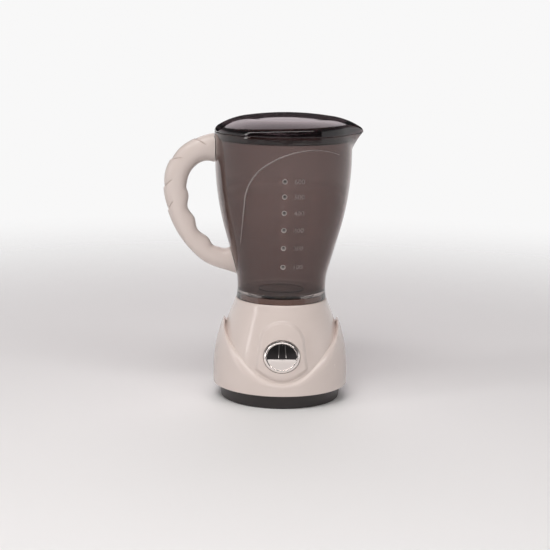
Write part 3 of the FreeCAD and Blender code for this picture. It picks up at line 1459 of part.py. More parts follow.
def handle_low_run():
    """Length of the lower end, from the lower bend to the jug's flare."""
    across = handle_low_x() + S["handle_low_bend"] * cosine(S["handle_low_turn"])
    lean = 90 - S["handle_low_turn"] - S["handle_low_rise"] / 2
    return (across - S["flare_radius"] - S["part_gap"]) / cosine(lean)


def handle_stations():
    """Stations along the handle: (x, z, direction, half thickness, shift towards the jug)."""
    top, low = float(S["handle_top_bend"]), float(S["handle_low_bend"])
    bend_z = float(S["handle_bend_z"])
    upper = math.radians(90) * top
    lower = math.radians(float(S["handle_low_turn"])) * low
    run = float(handle_low_run())
    top_x, low_x, fade = float(handle_top_x()), float(handle_low_x()), float(S["grip_fade"])
    start = -float(S["handle_top_run"])
    wave, pitch, first = (float(S[name]) for name in ("grip_wave", "grip_pitch", "grip_first"))
    steps = 40
    stations = []
    for step in range(steps + 1):
        path = start + (upper + lower + run - start) * step / steps
        if path < 0:
            x, z, heading = -top_x - path, bend_z + top, 180.0
        elif path < upper:
            angle = path / top
            x = -top_x - top * math.sin(angle)
            z = bend_z + top * math.cos(angle)
            heading = 180 + math.degrees(angle)
        else:
            angle = min((path - upper) / low, lower / low)
            x = -low_x - low * math.cos(angle)
            z = bend_z - low * math.sin(angle)
            heading = 270 + math.degrees(angle)
            rest = path - upper - lower
            if rest > 0:
                rise = float(S["handle_low_rise"]) * rest / run
                way = math.radians(heading + rise / 2)
                x, z = x + rest * math.cos(way), z + rest * math.sin(way)
                heading += rise
        swell = float(S["handle_swell"]) * max(0.0, 1 - (path - start) / (upper * 0.6)) ** 2
        low_end = max(0.0, (path - upper - lower) / run)
        thin = float(S["handle_thin"]) * math.sin(math.pi / 2 * min(1.0, max(
            0.0, (path - upper) / lower)))
        half = float(S["handle_half"]) + swell - thin
        half += float(S["handle_flare"]) * low_end ** 5
        grip = max(0.0, min(1.0, (path - upper) / fade + 0.25,
                            (upper + lower - path) / fade + 1.25))
        ripple = wave * grip * math.cos(2 * math.pi * (path - upper - first) / pitch)
        half = max(half + ripple / 2, float(S["handle_depth"]) + 0.05)
        stations.append((x, z, heading, half, ripple / 2))
    return stations


def make_handle():
    """A C-shaped grip lofted through ellipses, split into a front and a rear half."""
    sections = []
    for number, (x, z, heading, half, shift) in enumerate(handle_stations()):
        ring = doc.addObject("Part::Ellipse", f"grip_section_{number}")
        ring.MajorRadius = half
        bind(ring, "MinorRadius", S["handle_depth"])
        along = Vector(math.cos(math.radians(heading)), 0, math.sin(math.radians(heading)))
        outward = Vector(along.z, 0, -along.x)
        place = Vector(x, 0, z) - outward * shift
        ring.Placement = Placement(place, Rotation(outward, Vector(0, 1, 0), along, "XZY"))
        sections.append(ring)
    lofts = []
    for first in range(0, len(sections) - 1, 10):
        loft = doc.addObject("Part::Loft", f"grip_part_{first}")
        loft.Sections = sections[first:first + 11]
        loft.Solid = True
        lofts.append(loft)
    grip = joined("MultiFuse", "grip", lofts)
    clear = new_body("jug_envelope")
    gap = -S["part_gap"]
    top = S["jug_top"] + S["handle_half"] * 2
    band = band_radius() - gap
    turn(clear, "envelope", [(0.0, S["collar_bottom"])]
         + jug_side(gap, S["collar_bottom"], S["band_bottom"] + gap)
         + [(band, S["band_bottom"] + gap + S["band_step"] / 2), (band, top), (0.0, top)])
    lugs = new_body("lug_envelope")
    play = 2 * S["seat_gap"]
    for low, high, reach, name in (
        (S["upper_lug_low"], S["upper_lug_high"], S["body_radius"], "upper"),
        (S["lower_lug_low"], S["lower_lug_high"], jug_at(S["lower_lug_low"]), "lower"),
    ):
        sketch = sketch_on(lugs, "XZ_Plane", name + "_slot_outline", -S["lug_half"] - play)
        draw_box(sketch, -reach - S["lug_reach"] - play, -20.0, low - play, high + play)
        add_feature(lugs, "Pad", name + "_slot", sketch, Length=2 * (S["lug_half"] + play))
        if name == "upper":
            bridge = sketch_on(lugs, "XZ_Plane", "bridge_outline", -1.0)
            draw_box(bridge, -30.0, -20.0, S["lower_lug_low"], S["upper_lug_high"])
            add_feature(lugs, "Pad", "bridge", bridge, Length=2.0)
    holes, screws = [], []
    for number, (x, z) in enumerate(handle_screw_places()):
        hole = at(new_body(f"handle_hole_{number}"), x, S["handle_depth"] - S["handle_screw_sink"], z,
                  Vector(1, 0, 0), -90.0)
        turn(hole, f"handle_hole_{number}_solid", [
            (0.0, -S["screw_length"]), (S["screw_radius"] + S["screw_gap"], -S["screw_length"]),
            (S["screw_radius"] + S["screw_gap"], 0.0), (S["screw_head_radius"] + 0.2, 0.0),
            (S["screw_head_radius"] + 0.2, S["handle_depth"]), (0.0, S["handle_depth"])])
        holes.append(hole)
        screw = make_screw(f"handle_screw_{number}")
        screws.append(at(screw, x, S["handle_depth"] - S["handle_screw_sink"], z,
                         Vector(1, 0, 0), -90.0))
    tools = joined("MultiFuse", "handle_tools", [clear, lugs])
    whole = cut("handle_shape", grip, tools)
    far, wide = 2 * handle_top_x(), 2 * S["handle_depth"]
    for side, label in ((-1, "handle_front"), (1, "handle_rear")):
        block = doc.addObject("Part::Box", label + "_side")
        for size, value in zip(("Length", "Width", "Height"), (far, wide, S["jug_top"])):
            setattr(block, size, float(value))
            bind(block, size, value)
        at(block, -far, 0.0 if side > 0 else -wide, S["handle_half"])
        half = joined("MultiCommon", label + "_block", [whole, block])
        for number, hole in enumerate(holes):
            half = cut(f"{label}_drilled_{number}", half, hole)
        node(half, label)
    node(joined("Compound", "handle_screw_set", screws), "handle_screws")


def handle_screw_places():
    """One screw in the upper end, one half way down and one in the lower bend."""
    upper_x = -handle_top_x() - S["handle_top_bend"] * sine(28.0)
    upper_z = S["handle_bend_z"] + S["handle_top_bend"] * cosine(28.0)
    places = [(upper_x, upper_z)]
    for turned in (8.0, 44.0):
        places.append((-handle_low_x() - S["handle_low_bend"] * cosine(turned),
                       S["handle_bend_z"] - S["handle_low_bend"] * sine(turned)))
    return places


# ---------------------------------------------------------------- build and write

def check_document():
    """Stop if any object failed, if a cut removed nothing, or if a sub-part isn't sound."""
    for item in doc.Objects:
        if {"Invalid", "Error"} & set(item.State):
            raise RuntimeError(f"{item.Name} failed: {item.State}")
        if item.TypeId in ("PartDesign::Pocket", "PartDesign::Groove"):
            before = item.BaseFeature.Shape.Volume
            if item.Shape.Volume > before - 1e-6:
                raise RuntimeError(f"{item.Name} cuts nothing")
    for item in NODES:
        if item.Shape.isNull() or not item.Shape.isValid() or not item.Shape.Solids:
            raise RuntimeError(f"{item.Label} isn't a sound solid")


def main():
    finish_housing()
    make_base_plate()
    make_battery_cover()
    make_cells()
    make_case_screws()
    make_button()
    make_switch()
    make_gear_frame()
    make_motor()
    make_drive()
    make_jug()
    make_agitator()
    make_lid()
    make_handle()
    doc.recompute()
    check_document()
    os.makedirs("parts", exist_ok=True)
    for item in NODES:
        item.Shape.exportStep(os.path.join("parts", item.Label + ".step"))
        box = item.Shape.BoundBox
        print(f"{item.Label:20s} solids {len(item.Shape.Solids)} volume {item.Shape.Volume:9.1f}"
              f"  x {box.XMin:7.2f} {box.XMax:7.2f}  y {box.YMin:7.2f} {box.YMax:7.2f}"
              f"  z {box.ZMin:7.2f} {box.ZMax:7.2f}")


main()
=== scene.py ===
"""Looks of the toy blender: smooth skins for its moulded parts, finishes, studio and camera."""

import json
import math

import bmesh
import bpy
import numpy as np
from mathutils import Euler, Matrix, Vector


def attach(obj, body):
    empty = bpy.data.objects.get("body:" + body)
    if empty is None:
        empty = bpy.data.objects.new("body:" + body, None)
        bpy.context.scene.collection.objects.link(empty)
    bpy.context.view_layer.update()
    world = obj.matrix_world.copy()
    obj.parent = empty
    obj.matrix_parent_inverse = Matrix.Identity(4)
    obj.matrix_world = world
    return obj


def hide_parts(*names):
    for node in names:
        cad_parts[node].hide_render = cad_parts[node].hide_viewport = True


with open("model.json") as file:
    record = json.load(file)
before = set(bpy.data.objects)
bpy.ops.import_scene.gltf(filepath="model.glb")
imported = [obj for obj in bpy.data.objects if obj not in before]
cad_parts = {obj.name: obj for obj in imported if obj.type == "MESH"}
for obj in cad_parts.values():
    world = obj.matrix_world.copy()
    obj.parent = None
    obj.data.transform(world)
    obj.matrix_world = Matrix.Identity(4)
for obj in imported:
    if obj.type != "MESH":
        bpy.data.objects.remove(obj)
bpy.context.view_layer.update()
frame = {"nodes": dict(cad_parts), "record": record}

MM = 0.001
FULL_TURN = 2 * math.pi

# ------------------------------------------------------------ sizes in millimetres

# Housing: the inner cone, the apron round its foot and the arch round the button.
CORE_RADIUS, CORE_WIDEST, CORE_ARC = 49.0, 14.0, 142.007
NECK_RADIUS, NECK_LEVEL = 36.3, 72.7
APRON_RADIUS, APRON_WIDEST, APRON_ARC = 51.7, 21.0, 110.417
HOUSING_FOOT, HOUSING_WALL, SHOULDER_LEVEL = 11.0, 2.0, 77.0
BOSS_RADIUS, BOSS_TOP, WELL_RADIUS, WELL_FLOOR, BUSH_RADIUS = 31.5, 81.0, 12.5, 70.6, 4.05
HEM_TOP = 11.6
HEM = ((46.0, 13.3), (49.6, 13.3), (49.6, 11.3), (49.9, HOUSING_FOOT), (51.2, HOUSING_FOOT),
       (51.5, 11.1), (51.66, 11.3), (APRON_RADIUS, HEM_TOP))
SCOOP_RADIUS, SCOOP_LEVEL, SCOOP_END = 44.2, 61.6, math.radians(89.22)
# Ramp and lip along the scoop's edge: widths at its foot, on its sides and at its tips.
RAMP_FOOT, RAMP_SIDE, RAMP_TIP, LIP_FOOT, LIP_SIDE = 3.0, 5.6, 1.6, 1.0, 2.0
WIDEST_TURN, NARROWING, RAMP_ROUNDING = math.radians(50), 0.64, 2.2
TIP_REACH, TIP_NOTCH = 9.0, 3.0
SUNK = 0.5
ARCH_RADIUS, ARCH_FOOT_LEVEL, ARCH_ARC = 50.8, 18.0, 113.98
ARCH_OUTLINE = [(0.0, 66.6), (17.6, 49.0, -17.6), (20.2, 30.5), (0.0, 22.6, -29.78),
                (-20.2, 30.5, -29.78), (-17.6, 49.0), (0.0, 66.6, -17.6)]
ARCH_EDGE, ARCH_LOW_EDGE, ARCH_SPREAD, ARCH_SUNK = 3.0, 5.5, 0.3, 0.15

# Button: half its width and height, and its profile as (inset, height over the arch's face).
BUTTON_LEVEL, BUTTON_TILT = 41.0, math.radians(12)
BUTTON_WIDE, BUTTON_TALL, BUTTON_GAP = 13.6, 12.1, 0.3
DOME_INSET, DOME_FOOT, DOME_TOP, DOME_SHOULDER = 2.4, 0.40, 2.8, 0.12
BUTTON_BEAD = ((0.4, -7.6), (0.0, -7.2), (0.0, -0.9), (0.05, -0.66), (0.2, -0.44), (0.5, -0.18),
               (0.9, 0.14), (1.3, 0.44), (1.6, 0.62), (1.85, 0.69), (2.05, 0.63), (2.2, 0.47),
               (2.3, 0.38), (DOME_INSET, DOME_FOOT))
# The hole it sits in: the sleeve's depth, and the hole's round edge as (growth, depth).
SLEEVE_DEPTH, OPENING_WIDE, OPENING_TALL = 7.5, 1.6, 1.4
HOLE_EDGE = ((0.0, 0.45), (0.03, 0.25), (0.12, 0.1), (0.25, 0.02), (0.4, 0.0))

# Jug: its outline, its floor with the recess and the socket under it, and the marks on its front.
JUG_FOOT, COLLAR_RADIUS, FLARE_ARC, BODY_ARC = 77.1, 33.8, 45.8, 208.09
COLLAR_TOP, WAIST_RADIUS, WAIST_LEVEL = 87.5, 35.4, 99.5
HIP_RADIUS, HIP_LEVEL, BODY_LEVEL = 44.6, 132.0, 187.0
BODY_RADIUS, BAND_RADIUS, BAND_LEVEL, JUG_TOP, JUG_WALL = 52.0, 52.6, 199.5, 204.8, 1.8
SPOUT_LEVELS, SPOUT_REACHES, SPOUT_TIP = (189.0, 197.0, 204.8), (51.0, 54.4, 59.6), 10.0
RIB_PATH = [(-32.0, 122.9), (-29.4, 153.7), (-18.7, 180.5, -38.6), (20.5, 195.7, -60.0),
            (40.2, 191.2, -45.0)]
RIB_PROFILE = ((-0.5, -0.05), (-0.35, 0.3), (-0.17, 0.46), (0.0, 0.5), (0.17, 0.46), (0.35, 0.3),
               (0.5, -0.05))
RIB_START_FADE, RIB_END_FADE = 0.25, 0.3
FLOOR_LEVEL, RECESS_RADIUS, RECESS_FLOOR, SOCKET_RADIUS, SOCKET_TOP = 83.7, 15.8, 82.5, 32.0, 81.3
RING_RADIUS, RING_LEVEL, RING_HALF_WIDTH, RING_HALF_HEIGHT = 16.6, 84.0, 0.6, 0.45
MARK_COUNT, MARK_FOOT, MARK_PITCH, MARK_CLOSING = 6, 107.0, 15.0, 0.45
DOT_RADIUS, DOT_HEIGHT, DOT_FOOT = 1.95, 1.4, 0.04
NUMERAL_SIZE, NUMERAL_HALF_THICK, NUMERAL_BOLD, NUMERAL_PROUD = 5.2, 0.1, 0.03, 0.08
NUMERAL_X, NUMERAL_DROP = 7.0, 1.8

# Lid: a shallow crown whose outer part bends down with its own arc, and the plug ring.
LID_REACH, LID_FOOT, LID_APEX, LID_WALL = 60.2, 205.0, 218.8, 1.9
CROWN_PLACE, CROWN_ARC, CROWN_END = 4.0, 220.15, 35.0
BEND_ARC, BEND_PLACE, BEND_DROP = 50.0, 27.5, 52.2
LID_EDGE = ((1.75, 0.08), (1.2, 0.28), (0.72, 0.6), (0.34, 1.05), (0.1, 1.6), (0.0, 2.2))
LID_BAND = ((0.0, 205.6), (0.0, 205.25), (0.1, 205.08), (0.3, LID_FOOT), (1.5, LID_FOOT),
            (1.72, 205.08), (1.8, 205.25), (1.8, 206.3), (2.3, 206.9))
CROWN_INSET, CEILING_LOW = 2.3, 206.6
PLUG_GAP, PLUG_WALL, PLUG_FOOT, PLUG_ROUND = 0.4, 1.8, 198.8, 0.3

# Handle: its middle line runs from the jug's rim over two bends to the jug's flare. The waves
# are for the fingers, and the seam runs where the two halves meet.
GRIP_DEPTH, GRIP_HALF, GRIP_SWELL, GRIP_THIN, GRIP_FLARE = 7.0, 9.0, 4.0, 1.5, 4.2
TOP_X, BEND_LEVEL, TOP_BEND, LOW_BEND = 53.5, 163.3, 28.6, 66.4
LOW_X, LOW_TURN, LOW_RUN, LOW_RISE = 15.7, math.radians(48), 25.5, math.radians(50)
TOP_RUN, WAVE, WAVE_PITCH, WAVE_FIRST, WAVE_FADE = 9.0, 1.1, 21.0, 9.5, 8.0
UPPER_LENGTH, LOWER_LENGTH = math.pi / 2 * TOP_BEND, LOW_TURN * LOW_BEND
SEAM_DEPTH, SEAM_TURN, HANDLE_GAP = 0.16, math.radians(1.6), 0.3
# Overlapping bands on the handle's back: where each edge meets the outline, and its height.
BAND_EDGES = (((-69.0, 200.5), 0.6), ((-86.0, 182.0), 1.1), ((-91.4, 160.5), 1.2),
              ((-88.5, 142.8), 1.0))
BAND_LENGTH, BAND_SLANT, BAND_END, BAND_FADE = 13.0, 8.5, math.radians(80), math.radians(34)
CREVICE_DEPTH, CREVICE_WIDTH = 3.0, 0.7
# Rows near a band's edge, closer together than the rest, as distances from it along the handle.
EDGE_ROWS = (-1.6, -1.3, -1.05, -0.82, -0.6, -0.4, -0.2, -0.02, 0.02, 0.5)
# Screws in the rear half: their recess's radius and its two ends, measured from the seam, and
# the screws' turns along the upper and the lower bend.
SCREW_RECESS, SCREW_SEAT, RECESS_END = 2.5, 4.45, 9.0
UPPER_SCREW, LOWER_SCREWS = math.radians(28), (math.radians(8), math.radians(44))


# ------------------------------------------------------------ curves

def line_of(corners, step=1.0):
    """Points along (x, y) corners; a third value is the radius of an arc to it (+ turns left)."""
    run = [np.array([corners[0][:2]], float)]
    for before, after in zip(corners, corners[1:]):
        start, end = np.array(before[:2], float), np.array(after[:2], float)
        length = np.linalg.norm(end - start)
        share = np.linspace(0, 1, max(math.ceil(length / step), 1) + 1)[1:, None]
        if len(after) == 2:
            run.append(start + (end - start) * share)
            continue
        half = (end - start) / 2
        side = np.array([-half[1], half[0]]) / np.linalg.norm(half) * math.copysign(1, after[2])
        centre = start + half + side * math.sqrt(max(after[2] ** 2 - half @ half, 0))
        first = math.atan2(*(start - centre)[::-1])
        last = math.atan2(*(end - centre)[::-1])
        turn = (last - first + math.pi) % FULL_TURN - math.pi
        angle = first + turn * share
        run.append(centre + abs(after[2]) * np.hstack([np.cos(angle), np.sin(angle)]))
    return np.vstack(run)


def ease(share):
    """Soft step from 0 to 1."""
    share = np.clip(share, 0, 1)
    return share * share * (3 - 2 * share)


def core_at(z):
    """Radius of the housing's inner cone."""
    return CORE_RADIUS - CORE_ARC + np.sqrt(CORE_ARC ** 2 - (z - CORE_WIDEST) ** 2)


def apron_at(z):
    """Radius of the apron before the scoop is taken out of it."""
    rise = np.maximum(z - APRON_WIDEST, 0)
    return APRON_RADIUS - APRON_ARC + np.sqrt(APRON_ARC ** 2 - rise ** 2)


def arch_at(z):
    """Radius of the raised arch's face."""
    rise = z - ARCH_FOOT_LEVEL
    return ARCH_RADIUS - ARCH_ARC + np.sqrt(ARCH_ARC ** 2 - rise ** 2)


def depth_at(radius, x):
    """How far a round skin of this radius stands before the middle plane at x."""
    return np.sqrt(np.maximum(radius ** 2 - x ** 2, 0))


JUG_SIDE = line_of([
    (34.5, JUG_FOOT + 0.3), (COLLAR_RADIUS, 83.0), (COLLAR_RADIUS, COLLAR_TOP),
    (WAIST_RADIUS, WAIST_LEVEL, -FLARE_ARC), (HIP_RADIUS, HIP_LEVEL),
    (BODY_RADIUS, BODY_LEVEL, BODY_ARC), (BODY_RADIUS, BAND_LEVEL),
    (BAND_RADIUS, BAND_LEVEL + 0.3), (BAND_RADIUS, JUG_TOP - 0.4)], 1.2)


def jug_at(z):
    """Outer radius of the jug away from its spout."""
    return np.interp(z, JUG_SIDE[:, 1], JUG_SIDE[:, 0])


def pointed(radius, reach, tip, angle):
    """Distance from the axis of a round outline that is drawn out to a rounded point at +X."""
    if reach <= radius + 1e-4:
        return np.full_like(angle, radius)
    off = np.abs((angle + math.pi) % FULL_TURN - math.pi)
    centre = reach - tip
    lean = math.acos((radius - tip) / centre)
    join = math.atan2(tip * math.sin(lean), centre + tip * math.cos(lean))
    flank = radius / np.cos(np.minimum(lean - off, 1.2))
    nose = centre * np.cos(off) + np.sqrt(np.maximum(tip ** 2 - (centre * np.sin(off)) ** 2, 0))
    return np.where(off >= lean, radius, np.where(off >= join, flank, nose))


# ------------------------------------------------------------ meshes

SHARP = 34   # degrees from which an edge stays sharp


def smooth(mesh, sharp=SHARP):
    """Shade a mesh smooth and keep its sharp edges."""
    mesh.shade_smooth()
    mesh.set_sharp_from_angle(angle=math.radians(sharp))


def piece_of(name, points, faces, sharp=SHARP):
    """A smooth-shaded object from points in millimetres, welded, with edges kept sharp."""
    mesh = bpy.data.meshes.new(name)
    mesh.from_pydata((np.asarray(points, float) * MM).tolist(), [], faces)
    tidy = bmesh.new()
    tidy.from_mesh(mesh)
    bmesh.ops.remove_doubles(tidy, verts=tidy.verts, dist=2e-6)
    bmesh.ops.dissolve_degenerate(tidy, edges=tidy.edges, dist=1e-6)
    bmesh.ops.recalc_face_normals(tidy, faces=tidy.faces)
    tidy.to_mesh(mesh)
    tidy.free()
    smooth(mesh, sharp)
    piece = bpy.data.objects.new(name, mesh)
    bpy.context.scene.collection.objects.link(piece)
    return piece


def grid_faces(rows, columns, around=True, along=False, first=0):
    """Quads of a grid of points, joined round and, if asked, from the last row to the first."""
    number = first + np.arange(rows * columns).reshape(rows, columns)
    if around:
        number = np.hstack([number, number[:, :1]])
    if along:
        number = np.vstack([number, number[:1]])
    quads = np.stack([number[:-1, :-1], number[:-1, 1:], number[1:, 1:], number[1:, :-1]], axis=-1)
    return quads.reshape(-1, 4).tolist()


def skin(name, grid, around=True, along=False, sharp=SHARP):
    """A piece whose surface is a grid of points."""
    rows, columns = grid.shape[:2]
    return piece_of(name, grid.reshape(-1, 3), grid_faces(rows, columns, around, along), sharp)


def tube(name, grid, sharp=SHARP):
    """A skin round a path, closed at both its ends."""
    rows, columns = grid.shape[:2]
    faces = grid_faces(rows, columns)
    faces += [list(range(columns)), list(range((rows - 1) * columns, rows * columns))]
    return piece_of(name, grid.reshape(-1, 3), faces, sharp)


def turned(name, outline, segments=256):
    """A closed (radius, height) outline turned about the upright axis."""
    angle = np.linspace(0, FULL_TURN, segments, endpoint=False)
    radius, level = outline[:, :1], outline[:, 1:]
    grid = np.stack([radius * np.sin(angle), -radius * np.cos(angle),
                     level + 0 * angle], axis=-1)
    return skin(name, grid, along=True)


def drop_faces(piece, unwanted):
    """Take away the faces whose middle, in millimetres, answers to unwanted."""
    trim = bmesh.new()
    trim.from_mesh(piece.data)
    gone = [face for face in trim.faces if unwanted(face.calc_center_median() / MM)]
    bmesh.ops.delete(trim, geom=gone, context="FACES")
    trim.to_mesh(piece.data)
    trim.free()


def taken_out(piece, tool):
    """Cut one mesh out of another for good."""
    cutter = piece.modifiers.new("cut", "BOOLEAN")
    cutter.operation, cutter.solver, cutter.object = "DIFFERENCE", "EXACT", tool
    graph = bpy.context.evaluated_depsgraph_get()
    result = bpy.data.meshes.new_from_object(piece.evaluated_get(graph))
    piece.modifiers.clear()
    piece.data = result
    smooth(result)


def joined(name, pieces):
    """Several meshes as one object."""
    points, faces, count = [], [], 0
    for piece in pieces:
        points.append(np.array([vertex.co for vertex in piece.data.vertices]) / MM)
        faces += [[count + index for index in face.vertices] for face in piece.data.polygons]
        count += len(piece.data.vertices)
        bpy.data.objects.remove(piece)
    return piece_of(name, np.vstack(points), faces)


# ------------------------------------------------------------ housing

def lip_sizes(angle):
    """Widths of the ramp and of the rounded lip outside it, at these turns round the scoop."""
    share = np.abs(angle) / WIDEST_TURN
    slope = (1 - np.cos(math.pi * np.minimum(share, 1))) / 2
    tip = (1 - np.cos(math.pi * np.clip((share - 1) / NARROWING, 0, 1))) / 2
    ramp = RAMP_FOOT + (RAMP_SIDE - RAMP_FOOT) * slope + (RAMP_TIP - RAMP_SIDE) * tip
    return ramp, (LIP_FOOT + (LIP_SIDE - LIP_FOOT) * slope) * (1 - tip)


def make_apron():
    """The apron: rolled hem, upright skin, rounded lip along the scoop, ramp down to the cone."""
    turn = SCOOP_END * np.sin(math.pi / 2 * np.linspace(-1, 1, 241))
    ramp, lip = lip_sizes(turn)
    edge_x = (SCOOP_RADIUS + lip) * np.sin(turn)
    edge_z = SCOOP_LEVEL - (SCOOP_RADIUS + lip) * np.cos(turn)
    edge_y = depth_at(apron_at(edge_z), edge_x)
    edge_y[0] = edge_y[-1] = 0.0
    full = ease(edge_y / TIP_REACH)
    round_angle = np.arctan2(edge_x, edge_y)
    rows = []

    def add(radius, level):
        rows.append(np.stack([radius * np.sin(round_angle), -radius * np.cos(round_angle),
                              level + 0 * round_angle], axis=-1))

    for radius, level in HEM:
        add(radius, level)
    for share in np.linspace(0, 1, 30)[1:-1]:
        level = HEM_TOP + (edge_z - HEM_TOP) * share
        add(apron_at(level), level)
    for share in np.linspace(0, 1, 20):
        reach = SCOOP_RADIUS + lip - (ramp + lip) * share
        x = reach * np.sin(turn)
        z = SCOOP_LEVEL - reach * np.cos(turn) - TIP_NOTCH * (1 - full) * share
        upper, lower = depth_at(apron_at(z), x), depth_at(core_at(z), x)
        y = lower + (upper - lower) * (1 - share ** RAMP_ROUNDING)
        y = edge_y + (y - edge_y) * full
        rows.append(np.stack([x, -y, z], axis=-1))
    sunk = rows[-1].copy()
    away = np.hypot(sunk[:, 0], sunk[:, 1])
    sunk[:, :2] *= (np.minimum(away, core_at(sunk[:, 2]) - SUNK) / away)[:, None]
    rows.append(sunk)
    front = np.stack(rows)
    rear = front[:, ::-1].copy()
    rear[..., 1] *= -1
    return skin("apron", np.concatenate([front, rear[:, 1:-1]], axis=1))


def make_cone():
    """The inner cone with its shoulder, the boss that centres the jug and the coupling well."""
    wall = HOUSING_WALL
    cone = [(CORE_RADIUS - wall, 13.3), (CORE_RADIUS, CORE_WIDEST),
            (NECK_RADIUS, NECK_LEVEL, CORE_ARC)]
    shoulder = [(35.5, 75.6), (35.05, 76.6), (34.7, SHOULDER_LEVEL), (31.8, SHOULDER_LEVEL)]
    boss = [(BOSS_RADIUS, 77.2), (BOSS_RADIUS, 80.4), (31.3, 80.8), (30.9, BOSS_TOP)]
    well = [(12.9, BOSS_TOP), (12.6, 80.9), (WELL_RADIUS, 80.6), (WELL_RADIUS, WELL_FLOOR),
            (BUSH_RADIUS, WELL_FLOOR), (BUSH_RADIUS, WELL_FLOOR - wall)]
    inside = [(WELL_RADIUS + wall, WELL_FLOOR - wall), (WELL_RADIUS + wall, BOSS_TOP - wall),
              (BOSS_RADIUS - wall, BOSS_TOP - wall), (BOSS_RADIUS - wall, NECK_LEVEL),
              (NECK_RADIUS - wall, NECK_LEVEL), (CORE_RADIUS - wall, CORE_WIDEST, -CORE_ARC),
              (CORE_RADIUS - wall, 13.4)]
    piece = turned("cone", line_of(cone + shoulder + boss + well + inside, 1.6))
    wide, tall = BUTTON_WIDE + OPENING_WIDE, BUTTON_TALL + OPENING_TALL
    drop_faces(piece, lambda spot: spot.y < 0 and (
        (spot.x / wide) ** 2 + ((spot.z - BUTTON_LEVEL) / tall) ** 2 < 1))
    return piece


def button_point(across, up, out):
    """A point by its distances from the middle of the button's seat, in its tilted frame."""
    seat, rise, fall = float(arch_at(BUTTON_LEVEL)), math.cos(BUTTON_TILT), math.sin(BUTTON_TILT)
    return np.stack(np.broadcast_arrays(
        across, -seat + up * fall - out * rise, BUTTON_LEVEL + up * rise + out * fall), axis=-1)


def on_arch(turn, grow):
    """The oval of the button's hole, grown a little, laid on the arch's face."""
    across = (BUTTON_WIDE + BUTTON_GAP + grow) * np.cos(turn)
    up = (BUTTON_TALL + BUTTON_GAP + grow) * np.sin(turn)
    out = 0 * turn
    for _ in range(8):
        x, y, z = np.moveaxis(button_point(across, up, out), -1, 0)
        out = out + (depth_at(arch_at(z), x) + y) / math.cos(BUTTON_TILT)
    return across, up, out


def make_arch():
    """The raised arch: its flat face round the button, its soft edge and the button's sleeve."""
    outline = line_of(ARCH_OUTLINE, 0.4)
    angle = np.linspace(0, FULL_TURN, 320, endpoint=False)
    way = np.arctan2(outline[:, 1] - BUTTON_LEVEL, outline[:, 0]) % FULL_TURN
    order = np.argsort(way)
    reach = np.hypot(outline[:, 0], outline[:, 1] - BUTTON_LEVEL)[order]
    reach = np.interp(angle, way[order], reach, period=FULL_TURN)
    blur = np.hanning(11) / np.hanning(11).sum()
    reach = np.convolve(np.concatenate([reach[-5:], reach, reach[:5]]), blur, "valid")
    turn = np.linspace(0, FULL_TURN, 721)
    dense = button_point(*on_arch(turn, HOLE_EDGE[-1][0]))
    dense_way = np.unwrap(np.arctan2(dense[:, 2] - BUTTON_LEVEL, dense[:, 0]))
    turn = np.interp(angle, dense_way, turn, period=FULL_TURN)
    rows = []
    for share in (3, 2, 1):
        across, up, _ = on_arch(turn, 0.0)
        rows.append(button_point(across, up, -SLEEVE_DEPTH * share / 3 + 0 * turn))
    for grow, sink in HOLE_EDGE:
        across, up, out = on_arch(turn, grow)
        rows.append(button_point(across, up, out - sink))
    near = np.hypot(rows[-1][:, 0], rows[-1][:, 2] - BUTTON_LEVEL)
    low = np.maximum(-np.sin(angle), 0) ** 3
    edge = ARCH_EDGE + (ARCH_LOW_EDGE - ARCH_EDGE) * low
    far = reach - edge + ARCH_SPREAD

    def add(distance, height):
        x, z = distance * np.cos(angle), BUTTON_LEVEL + distance * np.sin(angle)
        radius = core_at(z) + (arch_at(z) - core_at(z)) * height
        rows.append(np.stack([x, -depth_at(radius, x), z], axis=-1))

    for share in np.linspace(0, 1, 18)[1:]:
        add(near + (far - near) * share, 1.0)
    for share in np.linspace(0, 1, 14)[1:]:
        quarter = share * math.pi / 2
        add(far + edge * (share + (math.sin(quarter) - share) * low),
            (1 + math.cos(2 * quarter)) / 2 * (1 - low) + math.cos(quarter) * low)
    add(far + edge, -ARCH_SUNK)
    return skin("arch", np.stack(rows))


def make_housing():
    """The whole housing as one skin."""
    housing = joined("housing_skin", [make_cone(), make_apron(), make_arch()])
    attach(housing, "base")
    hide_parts("base_housing")
    return housing


def make_button():
    """The plated button: skirt, rounded bead, fine groove and dome."""
    turn = np.linspace(0, FULL_TURN, 180, endpoint=False)
    rows = []

    def add(wide, tall, height):
        rows.append(button_point(wide * np.cos(turn), tall * np.sin(turn), height + 0 * turn))

    for inset, height in BUTTON_BEAD:
        add(BUTTON_WIDE - inset, BUTTON_TALL - inset, height)
    wide, tall = BUTTON_WIDE - DOME_INSET, BUTTON_TALL - DOME_INSET
    for share in np.linspace(1, 0, 22)[1:]:
        crown = (1 - share ** 2) * (1 - DOME_SHOULDER * share ** 2)
        add(wide * share, tall * share, DOME_FOOT + (DOME_TOP - DOME_FOOT) * crown)
    button = skin("button_cap", np.stack(rows), sharp=60)
    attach(button, "button")
    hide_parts("button")
    return button


# ------------------------------------------------------------ jug and lid

